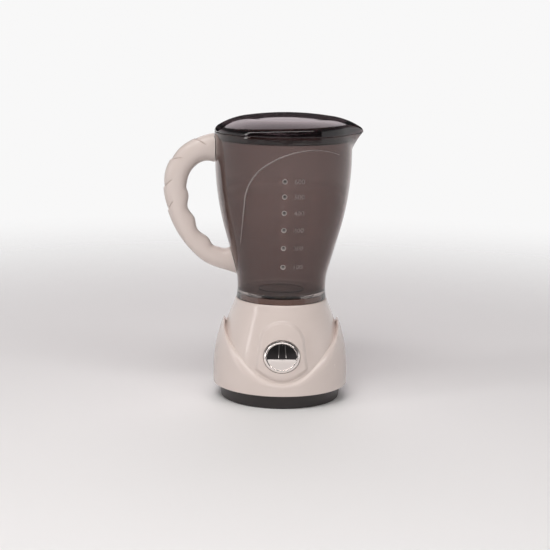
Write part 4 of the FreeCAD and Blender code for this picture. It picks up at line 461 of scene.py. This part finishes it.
def jug_grid(segments=384):
    """The jug's rows: outer side, rim, inner side, floor, bush hole and socket."""
    wall, inner = JUG_WALL, BODY_RADIUS - JUG_WALL
    rim = [(BAND_RADIUS - 0.12, JUG_TOP - 0.14), (BAND_RADIUS - 0.4, JUG_TOP),
           (inner + 0.5, JUG_TOP), (inner + 0.14, JUG_TOP - 0.14), (inner, JUG_TOP - 0.5)]
    inside = [rim[-1], (inner, BODY_LEVEL), (HIP_RADIUS - wall, HIP_LEVEL, -BODY_ARC),
              (WAIST_RADIUS - wall, WAIST_LEVEL), (COLLAR_RADIUS - wall, COLLAR_TOP, FLARE_ARC),
              (COLLAR_RADIUS - wall, FLOOR_LEVEL + 1.2), (30.8, FLOOR_LEVEL, -1.2)]
    floor = [(RECESS_RADIUS + 0.3, FLOOR_LEVEL), (RECESS_RADIUS, FLOOR_LEVEL - 0.3),
             (RECESS_RADIUS, RECESS_FLOOR), (BUSH_RADIUS, RECESS_FLOOR), (BUSH_RADIUS, SOCKET_TOP)]
    socket = [(SOCKET_RADIUS - 0.3, SOCKET_TOP), (SOCKET_RADIUS, SOCKET_TOP - 0.3),
              (SOCKET_RADIUS, JUG_FOOT + 0.3), (SOCKET_RADIUS + 0.3, JUG_FOOT), (34.2, JUG_FOOT)]
    side = np.vstack([JUG_SIDE, rim, line_of(inside + floor + socket, 1.6)[1:]])
    thick = np.clip((BAND_RADIUS - side[:, 0]) / (BAND_RADIUS - inner), 0, 1)
    thick[:len(JUG_SIDE)] = 0
    thick[len(JUG_SIDE) + len(rim) - 1:] = 1
    spout = np.polyfit(SPOUT_LEVELS, SPOUT_REACHES, 2)
    angle = np.linspace(0, FULL_TURN, segments, endpoint=False)
    rows = []
    for (radius, level), share in zip(side, thick):
        reach = np.polyval(spout, level) - wall * share if level > SPOUT_LEVELS[0] else 0.0
        away = pointed(radius, reach, SPOUT_TIP - wall * share, angle)
        rows.append(np.stack([away * np.cos(angle), away * np.sin(angle), level + 0 * angle],
                             axis=-1))
    return np.stack(rows)


def on_jug(x, z, proud):
    """A point on the jug's front skin."""
    return np.stack([x, -depth_at(jug_at(z) + proud, x), z], axis=-1)


def make_rib():
    """The thin raised rib that sweeps over the jug's front, fading out at both ends."""
    path = line_of(RIB_PATH, 0.9)
    ahead = np.gradient(path, axis=0)
    ahead /= np.linalg.norm(ahead, axis=1)[:, None]
    travel = np.linspace(0, 1, len(path))
    fade = ease(np.minimum(travel / RIB_START_FADE, (1 - travel) / RIB_END_FADE))
    rows = []
    for across, proud in RIB_PROFILE:
        across = across * (0.3 + 0.7 * fade)
        x = path[:, 0] - ahead[:, 1] * across
        z = path[:, 1] + ahead[:, 0] * across
        rows.append(on_jug(x, z, proud * np.maximum(fade, 0.1) - 0.02))
    return tube("front_rib", np.stack(rows, axis=1), sharp=70)


def mark_level(number):
    """Height of a scale mark, counted from 0 at the lowest: they close up a little upwards."""
    return MARK_FOOT + MARK_PITCH * number - MARK_CLOSING * number * (number - 1)


def make_dots():
    """Six round scale dots on the jug's front."""
    turn = np.linspace(0, FULL_TURN, 40, endpoint=False)
    dome = [(DOT_RADIUS * math.cos(lift), DOT_FOOT + DOT_HEIGHT * math.sin(lift))
            for lift in np.linspace(0, math.pi / 2, 10)]
    dots = []
    for number in range(MARK_COUNT):
        rows = [on_jug(ring * np.cos(turn), mark_level(number) + ring * np.sin(turn), proud)
                for ring, proud in [(0.0, DOT_FOOT)] + dome]
        dots.append(skin("dot", np.stack(rows), sharp=70))
    return joined("scale_dots", dots)


def make_numerals():
    """A plain three-digit number beside each scale dot, wrapped on the jug's skin."""
    marks = []
    for number in range(MARK_COUNT):
        text = bpy.data.curves.new("numeral", "FONT")
        text.body, text.size = str(100 * (number + 1)), NUMERAL_SIZE
        text.extrude, text.offset, text.resolution_u = NUMERAL_HALF_THICK, NUMERAL_BOLD, 3
        letters = bpy.data.objects.new("numeral", text)
        bpy.context.scene.collection.objects.link(letters)
        graph = bpy.context.evaluated_depsgraph_get()
        mesh = bpy.data.meshes.new_from_object(letters.evaluated_get(graph))
        spots = np.array([vertex.co for vertex in mesh.vertices])
        faces = [list(face.vertices) for face in mesh.polygons]
        bpy.data.objects.remove(letters)
        spots = on_jug(spots[:, 0] + NUMERAL_X, spots[:, 1] + mark_level(number) - NUMERAL_DROP,
                       spots[:, 2] + NUMERAL_PROUD)
        marks.append(piece_of("numeral", spots, faces, sharp=30))
    return joined("scale_numerals", marks)


def make_floor_ring():
    """The fine dark line round the agitator's recess in the jug's floor."""
    turn = np.linspace(0, FULL_TURN, 16, endpoint=False)
    outline = np.stack([RING_RADIUS + RING_HALF_WIDTH * np.cos(turn),
                        RING_LEVEL + RING_HALF_HEIGHT * np.sin(turn)], axis=-1)
    return turned("floor_ring", outline, 160)


def make_jug():
    """The jug and the marks it carries, each with its finish."""
    jug = skin("jug_skin", jug_grid(), along=True)
    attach(jug, "jug")
    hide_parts("jug")
    marks = [(make_rib(), "rib_smoke"), (make_dots(), "dot_smoke"),
             (make_numerals(), "numeral_smoke"), (make_floor_ring(), "black")]
    for mark, _ in marks:
        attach(mark, "jug")
    return [(jug, "smoke")] + marks


def crown_level(x, y, inset=0.0):
    """Height of the lid's crown, or of the face this far under it."""
    away = np.hypot(x - CROWN_PLACE, y)
    top = CROWN_ARC - np.sqrt(CROWN_ARC ** 2 - np.minimum(away, CROWN_END) ** 2)
    outer = np.maximum(away, CROWN_END) - BEND_PLACE
    outer = BEND_DROP - np.sqrt(BEND_ARC ** 2 - outer ** 2)
    return LID_APEX - inset - np.where(away < CROWN_END, top, outer)


def make_lid():
    """The pointed lid: crown, rounded edge, edge band and the plug ring under it."""
    angle = np.linspace(0, FULL_TURN, 384, endpoint=False)
    rows = []

    def ring(away, level):
        x, y = away * np.cos(angle), away * np.sin(angle)
        z = level(x, y) if callable(level) else level + 0 * angle
        rows.append(np.stack([x, y, z], axis=-1))

    def outline(inset):
        return pointed(BAND_RADIUS - inset, LID_REACH - inset, SPOUT_TIP - inset, angle)

    def ceiling(x, y):
        return crown_level(x, y, LID_WALL)

    for share in np.linspace(0, 1, 40) ** 0.8:
        ring(outline(CROWN_INSET) * share, crown_level)
    for inset, drop in LID_EDGE:
        ring(outline(inset), lambda x, y: crown_level(x, y) - drop)
    for inset, level in LID_BAND:
        ring(outline(inset), level)
    ring(outline(3.2), lambda x, y: np.maximum(ceiling(x, y), CEILING_LOW))
    plug = BODY_RADIUS - JUG_WALL - PLUG_GAP
    hollow = plug - PLUG_WALL
    ring(plug - 0.35, lambda x, y: np.maximum(ceiling(x, y), CEILING_LOW) - 0.1)
    for radius, level in ((plug, 206.0), (plug, 199.3), (plug - PLUG_ROUND, PLUG_FOOT),
                          (hollow + PLUG_ROUND, PLUG_FOOT), (hollow, PLUG_FOOT + PLUG_ROUND),
                          (hollow, 207.0)):
        ring(radius, level)
    for share in np.linspace(1, 0, 26):
        ring((hollow - 0.8) * share, ceiling)
    lid = skin("lid_skin", np.stack(rows))
    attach(lid, "lid")
    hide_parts("lid")
    return lid


# ------------------------------------------------------------ handle

def grip_line(path):
    """Middle line of the handle at these lengths: x, z and heading."""
    angle = np.clip(path / TOP_BEND, 0, math.pi / 2)
    x = -TOP_X - TOP_BEND * np.sin(angle) - np.minimum(path, 0)
    z = BEND_LEVEL + TOP_BEND * np.cos(angle)
    heading = math.pi + angle
    below = path - UPPER_LENGTH
    angle = np.clip(below / LOW_BEND, 0, LOW_TURN)
    lower = below > 0
    x = np.where(lower, -LOW_X - LOW_BEND * np.cos(angle), x)
    z = np.where(lower, BEND_LEVEL - LOW_BEND * np.sin(angle), z)
    heading = np.where(lower, 1.5 * math.pi + angle, heading)
    rest = np.maximum(below - LOWER_LENGTH, 0)
    rise = LOW_RISE * rest / LOW_RUN
    x, z = x + rest * np.cos(heading + rise / 2), z + rest * np.sin(heading + rise / 2)
    return x, z, heading + rise


def grip_half(path):
    """Half the handle's thickness in its own plane."""
    swell = GRIP_SWELL * np.maximum(0, 1 - (path + TOP_RUN) / (UPPER_LENGTH * 0.6)) ** 2
    end = np.clip((path - UPPER_LENGTH - LOWER_LENGTH) / LOW_RUN, 0, 1.1)
    thin = GRIP_THIN * np.sin(math.pi / 2 * np.clip((path - UPPER_LENGTH) / LOWER_LENGTH, 0, 1))
    return GRIP_HALF + np.minimum(swell, GRIP_SWELL) - thin + GRIP_FLARE * end ** 5


def finger_wave(path):
    """Height of the finger waves on the handle's inner side at these lengths."""
    fade = np.clip(np.minimum((path - UPPER_LENGTH) / WAVE_FADE + 0.25,
                              (UPPER_LENGTH + LOWER_LENGTH - path) / WAVE_FADE + 1.25), 0, 1)
    return WAVE * fade * np.cos(FULL_TURN * (path - UPPER_LENGTH - WAVE_FIRST) / WAVE_PITCH)


def band_places():
    """Length along the handle at which each band's edge meets the outline."""
    path = np.linspace(-TOP_RUN, UPPER_LENGTH + LOWER_LENGTH, 2000)
    x, z, heading = grip_line(path)
    half = grip_half(path)
    outer_x, outer_z = x + np.sin(heading) * half, z - np.cos(heading) * half
    return [float(path[np.argmin(np.hypot(outer_x - spot[0], outer_z - spot[1]))])
            for spot, _ in BAND_EDGES]


def make_grip_half(name, side):
    """Half of the handle: finger waves inside, slanted band edges outside, a fine seam groove.

    The rows lie slanted across the handle, so that each band's edge keeps to a row.
    """
    places = band_places()
    start, end = -TOP_RUN + BAND_SLANT, UPPER_LENGTH + LOWER_LENGTH + LOW_RUN + BAND_SLANT
    spots = [spot for spot in np.arange(start, end, 0.8)
             if min(abs(spot - place) for place in places) > -EDGE_ROWS[0]]
    spots += [place + step for place in places for step in EDGE_ROWS]
    path = np.array(sorted(spots))[:, None]
    around = np.linspace(0, math.pi, 65)[None, :]
    slant = BAND_SLANT * (1 - np.cos(np.minimum(around, math.pi / 2)))
    here = path - slant
    x, z, heading = grip_line(here)
    half = grip_half(here)
    outer, front = np.cos(around), np.sin(around)
    recess = 0 * half
    fade = ease((BAND_END - around) / BAND_FADE)
    for place, (_, height) in zip(places, BAND_EDGES):
        above = place - path
        step = height * (1 - above / BAND_LENGTH) ** 2
        crevice = CREVICE_DEPTH * np.exp(-(above / CREVICE_WIDTH) ** 2)
        recess = recess + np.where((above > 0) & (above < BAND_LENGTH), crevice + step, 0) * fade
    inner = np.maximum(-outer, 0) ** 1.1
    seam = SEAM_DEPTH * np.exp(-(np.minimum(around, math.pi - around) / SEAM_TURN) ** 2)
    reach = half * outer - finger_wave(here) * inner - (recess + seam) * np.maximum(outer, 0)
    reach = reach + seam * np.maximum(-outer, 0)
    depth = (GRIP_DEPTH - 0.6 * recess) * front ** 0.94
    away_x, away_z = np.sin(heading), -np.cos(heading)
    grid = np.stack([x + away_x * reach, side * depth + 0 * x, z + away_z * reach], axis=-1)
    return tube(name, grid)


def post(radius, low, high, place):
    """A short cylinder along Y that a screw's recess is cut with."""
    turn = np.linspace(0, FULL_TURN, 48, endpoint=False)
    rows = []
    for ring, level in ((0.0, low), (radius, low), (radius, high), (0.0, high)):
        rows.append(np.stack([place[0] + ring * np.cos(turn), level + 0 * turn,
                              place[1] + ring * np.sin(turn)], axis=-1))
    return skin("recess", np.stack(rows))


def screw_places():
    """X and Z of the handle's screws, on the middle lines of its bends."""
    places = [(-TOP_X - TOP_BEND * math.sin(UPPER_SCREW),
               BEND_LEVEL + TOP_BEND * math.cos(UPPER_SCREW))]
    for turn in LOWER_SCREWS:
        places.append((-LOW_X - LOW_BEND * math.cos(turn), BEND_LEVEL - LOW_BEND * math.sin(turn)))
    return places


def make_handle():
    """Both halves of the handle, cut clear of the jug; the rear half has the screws' recesses."""
    foot, top = 80.0, 225.0
    upper_side = JUG_SIDE[JUG_SIDE[:, 1] > 82.9]
    clear = [(0.0, foot)] + [(radius + HANDLE_GAP, level) for radius, level in upper_side]
    clear += [(BAND_RADIUS + HANDLE_GAP, top), (0.0, top)]
    body = turned("clearance", np.array(clear), 192)
    halves = []
    for name, node, side in (("handle_front_half", "handle_front", -1),
                             ("handle_rear_half", "handle_rear", 1)):
        half = make_grip_half(name, side)
        taken_out(half, body)
        if side > 0:
            for place in screw_places():
                recess = post(SCREW_RECESS, SCREW_SEAT, RECESS_END, place)
                taken_out(half, recess)
                bpy.data.objects.remove(recess)
        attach(half, "jug")
        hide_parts(node)
        halves.append(half)
    bpy.data.objects.remove(body)
    return halves


# ------------------------------------------------------------ finishes

def new_group(name, inputs, outputs):
    """An empty shader group with these number sockets, and its input and output nodes."""
    group = bpy.data.node_groups.new(name, "ShaderNodeTree")
    for label, value in inputs:
        socket = group.interface.new_socket(label, in_out="INPUT", socket_type="NodeSocketFloat")
        socket.default_value = value
    for label in outputs:
        group.interface.new_socket(label, in_out="OUTPUT", socket_type="NodeSocketFloat")
    return group, group.nodes.new("NodeGroupInput"), group.nodes.new("NodeGroupOutput")


def cloud_group(name, stretch, detail, rough):
    """Uneven clouds of a size in the object's own millimetres, spread between two levels."""
    group, given, out = new_group(name, (("Size", 20.0), ("Low", 0.0), ("High", 1.0)), ("Amount",))
    link = group.links.new
    place = group.nodes.new("ShaderNodeTexCoord")
    shape = group.nodes.new("ShaderNodeMapping")
    shape.inputs["Scale"].default_value = stretch
    scale = group.nodes.new("ShaderNodeMath")
    scale.operation = "DIVIDE"
    scale.inputs[0].default_value = 1 / MM
    cloud = group.nodes.new("ShaderNodeTexNoise")
    cloud.inputs["Detail"].default_value, cloud.inputs["Roughness"].default_value = detail, rough
    spread = group.nodes.new("ShaderNodeMapRange")
    spread.inputs["From Min"].default_value = 0.15
    spread.inputs["From Max"].default_value = 0.85
    link(place.outputs["Object"], shape.inputs["Vector"])
    link(shape.outputs["Vector"], cloud.inputs["Vector"])
    link(given.outputs["Size"], scale.inputs[1])
    link(scale.outputs[0], cloud.inputs["Scale"])
    link(cloud.outputs["Fac"], spread.inputs["Value"])
    link(given.outputs["Low"], spread.inputs["To Min"])
    link(given.outputs["High"], spread.inputs["To Max"])
    link(spread.outputs["Result"], out.inputs["Amount"])
    return group


SOFT_CLOUD = cloud_group("moulding_cloud", (1, 1, 1), 3.0, 0.5)
FINE_GRAIN = cloud_group("fine_grain", (1, 1, 1), 2.0, 0.6)
BRUSHING = cloud_group("brushing", (1, 1, 14), 4.0, 0.7)


def finish_of(name, light, dark, cloud=(SOFT_CLOUD, 25.0), rough=(0.2, 0.28), bump=(0.6, 0.02),
              **plain):
    """A finish: colour and roughness drift between two levels, with a fine bump (size, height)."""
    finish = bpy.data.materials.new(name)
    finish.use_nodes = True
    nodes, link = finish.node_tree.nodes, finish.node_tree.links.new
    shader = nodes["Principled BSDF"]

    def placed(group, size, low, high):
        node = nodes.new("ShaderNodeGroup")
        node.node_tree = group
        node.inputs["Size"].default_value = size
        node.inputs["Low"].default_value, node.inputs["High"].default_value = low, high
        return node.outputs["Amount"]

    tone = nodes.new("ShaderNodeMix")
    tone.data_type = "RGBA"
    tone.inputs["A"].default_value, tone.inputs["B"].default_value = (*dark, 1), (*light, 1)
    link(placed(*cloud, 0.0, 1.0), tone.inputs["Factor"])
    link(tone.outputs["Result"], shader.inputs["Base Color"])
    link(placed(SOFT_CLOUD, cloud[1] * 0.45, *rough), shader.inputs["Roughness"])
    grain = nodes.new("ShaderNodeBump")
    grain.inputs["Distance"].default_value = bump[1] * MM
    grain.inputs["Strength"].default_value = 1.0
    link(placed(FINE_GRAIN, bump[0], 0.0, 1.0), grain.inputs["Height"])
    link(grain.outputs["Normal"], shader.inputs["Normal"])
    for label, value in plain.items():
        shader.inputs[label.replace("_", " ")].default_value = value
    return finish


def tint_slant(finish, edge, blend=0.6):
    """Lead the finish's colour over to another where the surface is seen at a slant."""
    nodes, link = finish.node_tree.nodes, finish.node_tree.links.new
    base = nodes["Principled BSDF"].inputs["Base Color"]
    slant, lead = nodes.new("ShaderNodeLayerWeight"), nodes.new("ShaderNodeMix")
    slant.inputs["Blend"].default_value = blend
    lead.data_type = "RGBA"
    lead.inputs["B"].default_value = (*edge, 1)
    link(slant.outputs["Facing"], lead.inputs["Factor"])
    link(base.links[0].from_socket, lead.inputs["A"])
    link(lead.outputs["Result"], base)


def paint_light_below(finish, colour, low, high):
    """Lead the finish's colour over to another below a level, in millimetres."""
    nodes, link = finish.node_tree.nodes, finish.node_tree.links.new
    base = nodes["Principled BSDF"].inputs["Base Color"]
    place, split, level, lead = (nodes.new("ShaderNode" + kind) for kind in (
        "TexCoord", "SeparateXYZ", "MapRange", "Mix"))
    level.interpolation_type = "SMOOTHSTEP"
    level.inputs["From Min"].default_value = low * MM
    level.inputs["From Max"].default_value = high * MM
    lead.data_type = "RGBA"
    lead.inputs["A"].default_value = (*colour, 1)
    link(place.outputs["Object"], split.inputs["Vector"])
    link(split.outputs["Z"], level.inputs["Value"])
    link(level.outputs["Result"], lead.inputs["Factor"])
    link(base.links[0].from_socket, lead.inputs["B"])
    link(lead.outputs["Result"], base)


def clear_finish(name, middle, edge, shadow, rough):
    """Tinted clear plastic, deeper in colour where it is seen at a slant; its shadow is tinted."""
    finish = finish_of(name, middle, [0.94 * level for level in middle], cloud=(SOFT_CLOUD, 40.0),
                       rough=rough, bump=(9.0, 0.012), IOR=1.49, Transmission_Weight=1.0)
    tint_slant(finish, edge)
    nodes, link = finish.node_tree.nodes, finish.node_tree.links.new
    shader, out = nodes["Principled BSDF"], nodes["Material Output"]
    see = nodes.new("ShaderNodeBsdfTransparent")
    see.inputs["Color"].default_value = (*shadow, 1)
    ray = nodes.new("ShaderNodeLightPath")
    blend = nodes.new("ShaderNodeMixShader")
    link(ray.outputs["Is Shadow Ray"], blend.inputs["Fac"])
    link(shader.outputs["BSDF"], blend.inputs[1])
    link(see.outputs["BSDF"], blend.inputs[2])
    link(blend.outputs["Shader"], out.inputs["Surface"])
    return finish


def mark_finish(name, face, edge, clear):
    """The jug's raised marks: less clear than its wall, with a painted highlight on their edges
    where they are seen at a slant.
    """
    finish = finish_of(name, face, [0.9 * level for level in face], cloud=(SOFT_CLOUD, 6.0),
                       rough=(0.08, 0.16), bump=(0.8, 0.004), IOR=1.49, Transmission_Weight=clear,
                       Coat_Weight=0.6, Coat_Roughness=0.05)
    # Painted highlight: the edge colour, paler than the face, wherever a mark is seen at a slant.
    tint_slant(finish, edge, 0.55)
    return finish


def make_finishes():
    """Every finish by the name of its slot, and those of the jug's marks."""
    metal = dict(rough=(0.2, 0.36), cloud=(BRUSHING, 3.0), bump=(0.3, 0.004), Metallic=1.0)
    smoke = clear_finish("smoke_clear", (0.335, 0.258, 0.245), (0.140, 0.078, 0.068),
                         (0.60, 0.54, 0.52), (0.02, 0.06))
    # Painted light: the jug's foot below its floor and the socket's rim are painted paler than the
    # rest of the smoke, to lighten the shaded housing seen through them.
    paint_light_below(smoke, (0.40, 0.345, 0.33), FLOOR_LEVEL + 0.8, COLLAR_TOP - 0.5)
    paint_light_below(smoke, (0.36, 0.31, 0.30), SOCKET_TOP - 0.5, SOCKET_TOP + 0.3)
    return {
        "shell": finish_of("ivory_gloss", (0.725, 0.630, 0.590), (0.695, 0.600, 0.560),
                           rough=(0.20, 0.28), bump=(2.5, 0.004), Specular_IOR_Level=0.38,
                           Coat_Weight=0.35, Coat_Roughness=0.08),
        "dark": finish_of("dark_base_plastic", (0.034, 0.027, 0.027), (0.024, 0.019, 0.019),
                          rough=(0.28, 0.42), bump=(0.5, 0.02)),
        "smoke": smoke,
        # Painted shade and highlight: the dots are clear in the moulding, but get a near-black face
        # for their dark look and a pale rim as their highlight.
        "dot_smoke": mark_finish("dot_painted_shade_and_highlight", (0.030, 0.022, 0.021), (0.86, 0.78, 0.75), 0.0),
        # Painted highlight: the rib is paler than the smoke it is moulded in, and paler still at
        # its slanted edges, standing in for the light line along it.
        "rib_smoke": mark_finish("rib_smoke", (0.36, 0.31, 0.30), (0.50, 0.44, 0.43), 0.35),
        # Painted highlight: a paler colour on the numerals' slanted edges.
        "numeral_smoke": mark_finish("numeral_smoke", (0.24, 0.195, 0.19), (0.36, 0.30, 0.29), 0.3),
        "lid_smoke": clear_finish("violet_smoke_clear", (0.165, 0.118, 0.130),
                                  (0.100, 0.062, 0.070), (0.40, 0.34, 0.37), (0.03, 0.08)),
        "plated": finish_of("bright_plating", (0.92, 0.85, 0.82), (0.90, 0.83, 0.80),
                            rough=(0.02, 0.05), bump=(3.0, 0.002), Metallic=1.0),
        "natural": finish_of("natural_acetal", (0.80, 0.78, 0.72), (0.74, 0.72, 0.66),
                             rough=(0.32, 0.42), Subsurface_Weight=0.08),
        "frame_grey": finish_of("grey_frame_plastic", (0.34, 0.35, 0.37), (0.29, 0.30, 0.32),
                                rough=(0.40, 0.52), bump=(0.8, 0.03)),
        "black": finish_of("black_nylon", (0.042, 0.042, 0.046), (0.030, 0.030, 0.033),
                           rough=(0.38, 0.5), bump=(0.7, 0.03)),
        "board": finish_of("board_laminate", (0.42, 0.27, 0.13), (0.36, 0.22, 0.10),
                           rough=(0.3, 0.45), bump=(0.8, 0.02)),
        "steel": finish_of("plain_steel", (0.64, 0.64, 0.65), (0.54, 0.54, 0.56), **metal),
        "brass": finish_of("plain_brass", (0.80, 0.62, 0.28), (0.68, 0.50, 0.21), **metal),
        "cell": finish_of("cell_jacket", (0.42, 0.45, 0.50), (0.36, 0.39, 0.44),
                          **{**metal, "rough": (0.22, 0.34)}),
    }


def dress(finishes, pieces):
    """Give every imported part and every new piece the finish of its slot."""
    for row in frame["record"]["subparts"]:
        for slot in frame["nodes"][row["node"]].material_slots:
            slot.material = finishes[row["material_slot"]]
    for piece, slot in pieces:
        piece.data.materials.clear()
        piece.data.materials.append(finishes[slot])


# ------------------------------------------------------------ studio

# Floor: its rings in millimetres, and where in metres it starts and ends to fade out.
FLOOR_RINGS, FLOOR_SINK = (0.0, 150.0, 300.0, 450.0, 600.0, 800.0, 1100.0), 0.05
FLOOR_FADE = (0.22, 0.95)
# Room: height of the view, from 0 straight down to 1 straight up, and how bright it is there.
ROOM_STOPS, AMBIENT = ((0.0, 0.94), (0.58, 0.94), (0.70, 0.16), (1.0, 0.10)), 0.13
# Dark cards: first and last turn from the front in degrees, foot and top in millimetres.
FLAG_AWAY = 2200.0
FLAGS = {"front_flag_low": (-62, 62, -20, 260), "front_flag_left": (-62, -11.5, 260, 4000),
         "front_flag_middle": (-9.5, 15.5, 260, 4000), "front_flag_right": (17.5, 62, 260, 4000),
         "rear_flag": (140, 220, 230, 1150)}
WARM, ROSE = (1, 0.985, 0.97), (1, 0.90, 0.94)
# Camera: metres from the upright axis and over the floor, degrees, and millimetres of lens.
CAMERA_AWAY, CAMERA_LEVEL, CAMERA_SWING, CAMERA_DROP = 1.1837, 0.3198, 1.5, 10.8
CAMERA_AIM, CAMERA_ROLL, CAMERA_LENS, FILM_WIDTH = 0.2435, 0.945, 102.44, 36.0


def make_floor():
    """A pale floor that keeps the shadow near the toy and melts into the background."""
    ring = np.array(FLOOR_RINGS)[:, None]
    angle = np.linspace(0, FULL_TURN, 96, endpoint=False)
    grid = np.stack([ring * np.cos(angle), ring * np.sin(angle), -FLOOR_SINK + 0 * ring * angle],
                    axis=-1)
    floor = skin("studio_floor", grid)
    paper = bpy.data.materials.new("studio_paper")
    paper.use_nodes = True
    nodes, link = paper.node_tree.nodes, paper.node_tree.links.new
    shader, out = nodes["Principled BSDF"], nodes["Material Output"]
    shader.inputs["Base Color"].default_value = (0.93, 0.92, 0.92, 1)
    shader.inputs["Roughness"].default_value = 0.6
    place, away = nodes.new("ShaderNodeTexCoord"), nodes.new("ShaderNodeVectorMath")
    away.operation = "LENGTH"
    fade = nodes.new("ShaderNodeMapRange")
    fade.interpolation_type = "SMOOTHSTEP"
    fade.inputs["From Min"].default_value, fade.inputs["From Max"].default_value = FLOOR_FADE
    clear, blend = nodes.new("ShaderNodeBsdfTransparent"), nodes.new("ShaderNodeMixShader")
    link(place.outputs["Object"], away.inputs[0])
    link(away.outputs["Value"], fade.inputs["Value"])
    link(fade.outputs["Result"], blend.inputs["Fac"])
    link(shader.outputs["BSDF"], blend.inputs[1])
    link(clear.outputs["BSDF"], blend.inputs[2])
    link(blend.outputs["Shader"], out.inputs["Surface"])
    floor.data.materials.append(paper)


def make_world():
    """The pale room that camera, gloss and clear plastic see, dimmer overhead, and its light."""
    world = bpy.data.worlds.new("studio")
    world.use_nodes = True
    bpy.context.scene.world = world
    nodes, link = world.node_tree.nodes, world.node_tree.links.new
    nodes.clear()
    out, blend = nodes.new("ShaderNodeOutputWorld"), nodes.new("ShaderNodeMixShader")
    room, ambient = nodes.new("ShaderNodeBackground"), nodes.new("ShaderNodeBackground")
    ambient.inputs["Color"].default_value = (1.0, 0.985, 0.975, 1)
    ambient.inputs["Strength"].default_value = AMBIENT
    place, split, ramp = (nodes.new(kind) for kind in (
        "ShaderNodeTexCoord", "ShaderNodeSeparateXYZ", "ShaderNodeValToRGB"))
    while len(ramp.color_ramp.elements) < len(ROOM_STOPS):
        ramp.color_ramp.elements.new(0.5)
    for element, (spot, level) in zip(ramp.color_ramp.elements, ROOM_STOPS):
        element.position, element.color = spot, (level, level * 0.997, level * 0.997, 1)
    half = nodes.new("ShaderNodeMath")
    half.operation = "MULTIPLY_ADD"
    half.inputs[1].default_value = half.inputs[2].default_value = 0.5
    ray = nodes.new("ShaderNodeLightPath")
    seen, either = nodes.new("ShaderNodeMath"), nodes.new("ShaderNodeMath")
    seen.operation = either.operation = "MAXIMUM"
    link(place.outputs["Generated"], split.inputs["Vector"])
    link(split.outputs["Z"], half.inputs[0])
    link(half.outputs[0], ramp.inputs["Fac"])
    link(ramp.outputs["Color"], room.inputs["Color"])
    link(ray.outputs["Is Camera Ray"], either.inputs[0])
    link(ray.outputs["Is Glossy Ray"], either.inputs[1])
    link(either.outputs[0], seen.inputs[0])
    link(ray.outputs["Is Transmission Ray"], seen.inputs[1])
    link(seen.outputs[0], blend.inputs["Fac"])
    link(ambient.outputs["Background"], blend.inputs[1])
    link(room.outputs["Background"], blend.inputs[2])
    link(blend.outputs["Shader"], out.inputs["Surface"])


def make_lamp(name, spot, aim_level, size, power, glossy=True, colour=WARM, shape="RECTANGLE"):
    """A soft lamp that looks at this height of the toy's axis; the camera never sees it."""
    light = bpy.data.lights.new(name, "AREA")
    light.shape, light.size, light.size_y = shape, *size
    light.energy, light.color = power, colour
    lamp = bpy.data.objects.new(name, light)
    bpy.context.scene.collection.objects.link(lamp)
    lamp.location = spot
    aim = Vector((0, 0, aim_level)) - Vector(spot)
    lamp.rotation_euler = aim.to_track_quat("-Z", "Y").to_euler()
    lamp.visible_camera, lamp.visible_glossy = False, glossy


def make_lamps():
    """Soft light from the front and the left, two strips for the gloss, a sheen for the lid."""
    make_lamp("key_softbox", (-0.25, -0.80, 1.15), 0.08, (0.6, 0.5), 5.3, glossy=False)
    make_lamp("front_fill", (-0.15, -1.60, 0.50), 0.10, (0.6, 0.6), 3.6, glossy=False)
    make_lamp("top_strip", (-0.10, -0.62, 1.20), 0.08, (2.4, 0.24), 8.0)
    make_lamp("left_strip", (-1.18, -0.52, 0.55), 0.12, (0.10, 0.8), 1.5)
    make_lamp("right_panel", (0.95, -0.90, 0.50), 0.12, (0.4, 0.7), 1.0, glossy=False)
    make_lamp("rear_softbox", (0.0, 1.04, 1.10), 0.20, (1.3, 1.15), 4.9, colour=ROSE,
              shape="ELLIPSE")


def make_flags(finishes):
    """Dark cards that only gloss sees: before the toy, and behind it over the lid's edge."""
    for name, (first, last, low, high) in FLAGS.items():
        angle = np.radians(np.linspace(first, last, 24))
        grid = np.stack([np.stack([FLAG_AWAY * np.sin(angle), -FLAG_AWAY * np.cos(angle),
                                   level + 0 * angle], axis=-1) for level in (low, high)])
        flag = skin(name, grid, around=False)
        flag.data.materials.append(finishes["black"])
        for sight in ("camera", "diffuse", "transmission", "volume_scatter", "shadow"):
            setattr(flag, "visible_" + sight, False)


def make_camera():
    """The viewing angle: a little from above, almost straight on."""
    data = bpy.data.cameras.new("camera")
    data.sensor_fit, data.sensor_width, data.lens = "HORIZONTAL", FILM_WIDTH, CAMERA_LENS
    camera = bpy.data.objects.new("camera", data)
    bpy.context.scene.collection.objects.link(camera)
    swing = math.radians(CAMERA_SWING)
    camera.location = (-CAMERA_AWAY * math.sin(swing), -CAMERA_AWAY * math.cos(swing), CAMERA_LEVEL)
    look = Euler((math.radians(90 - CAMERA_DROP), 0, math.radians(CAMERA_AIM - CAMERA_SWING)))
    roll = Matrix.Rotation(math.radians(CAMERA_ROLL), 3, "Z")
    camera.rotation_euler = (look.to_matrix() @ roll).to_euler()
    bpy.context.scene.camera = camera


# ------------------------------------------------------------ everything

finishes = make_finishes()
pieces = [(make_housing(), "shell"), (make_button(), "plated"), (make_lid(), "lid_smoke")]
pieces += make_jug()
pieces += [(half, "shell") for half in make_handle()]
dress(finishes, pieces)
make_floor()
make_world()
make_lamps()
make_flags(finishes)
make_camera()
bpy.context.scene.view_settings.view_transform = "Standard"
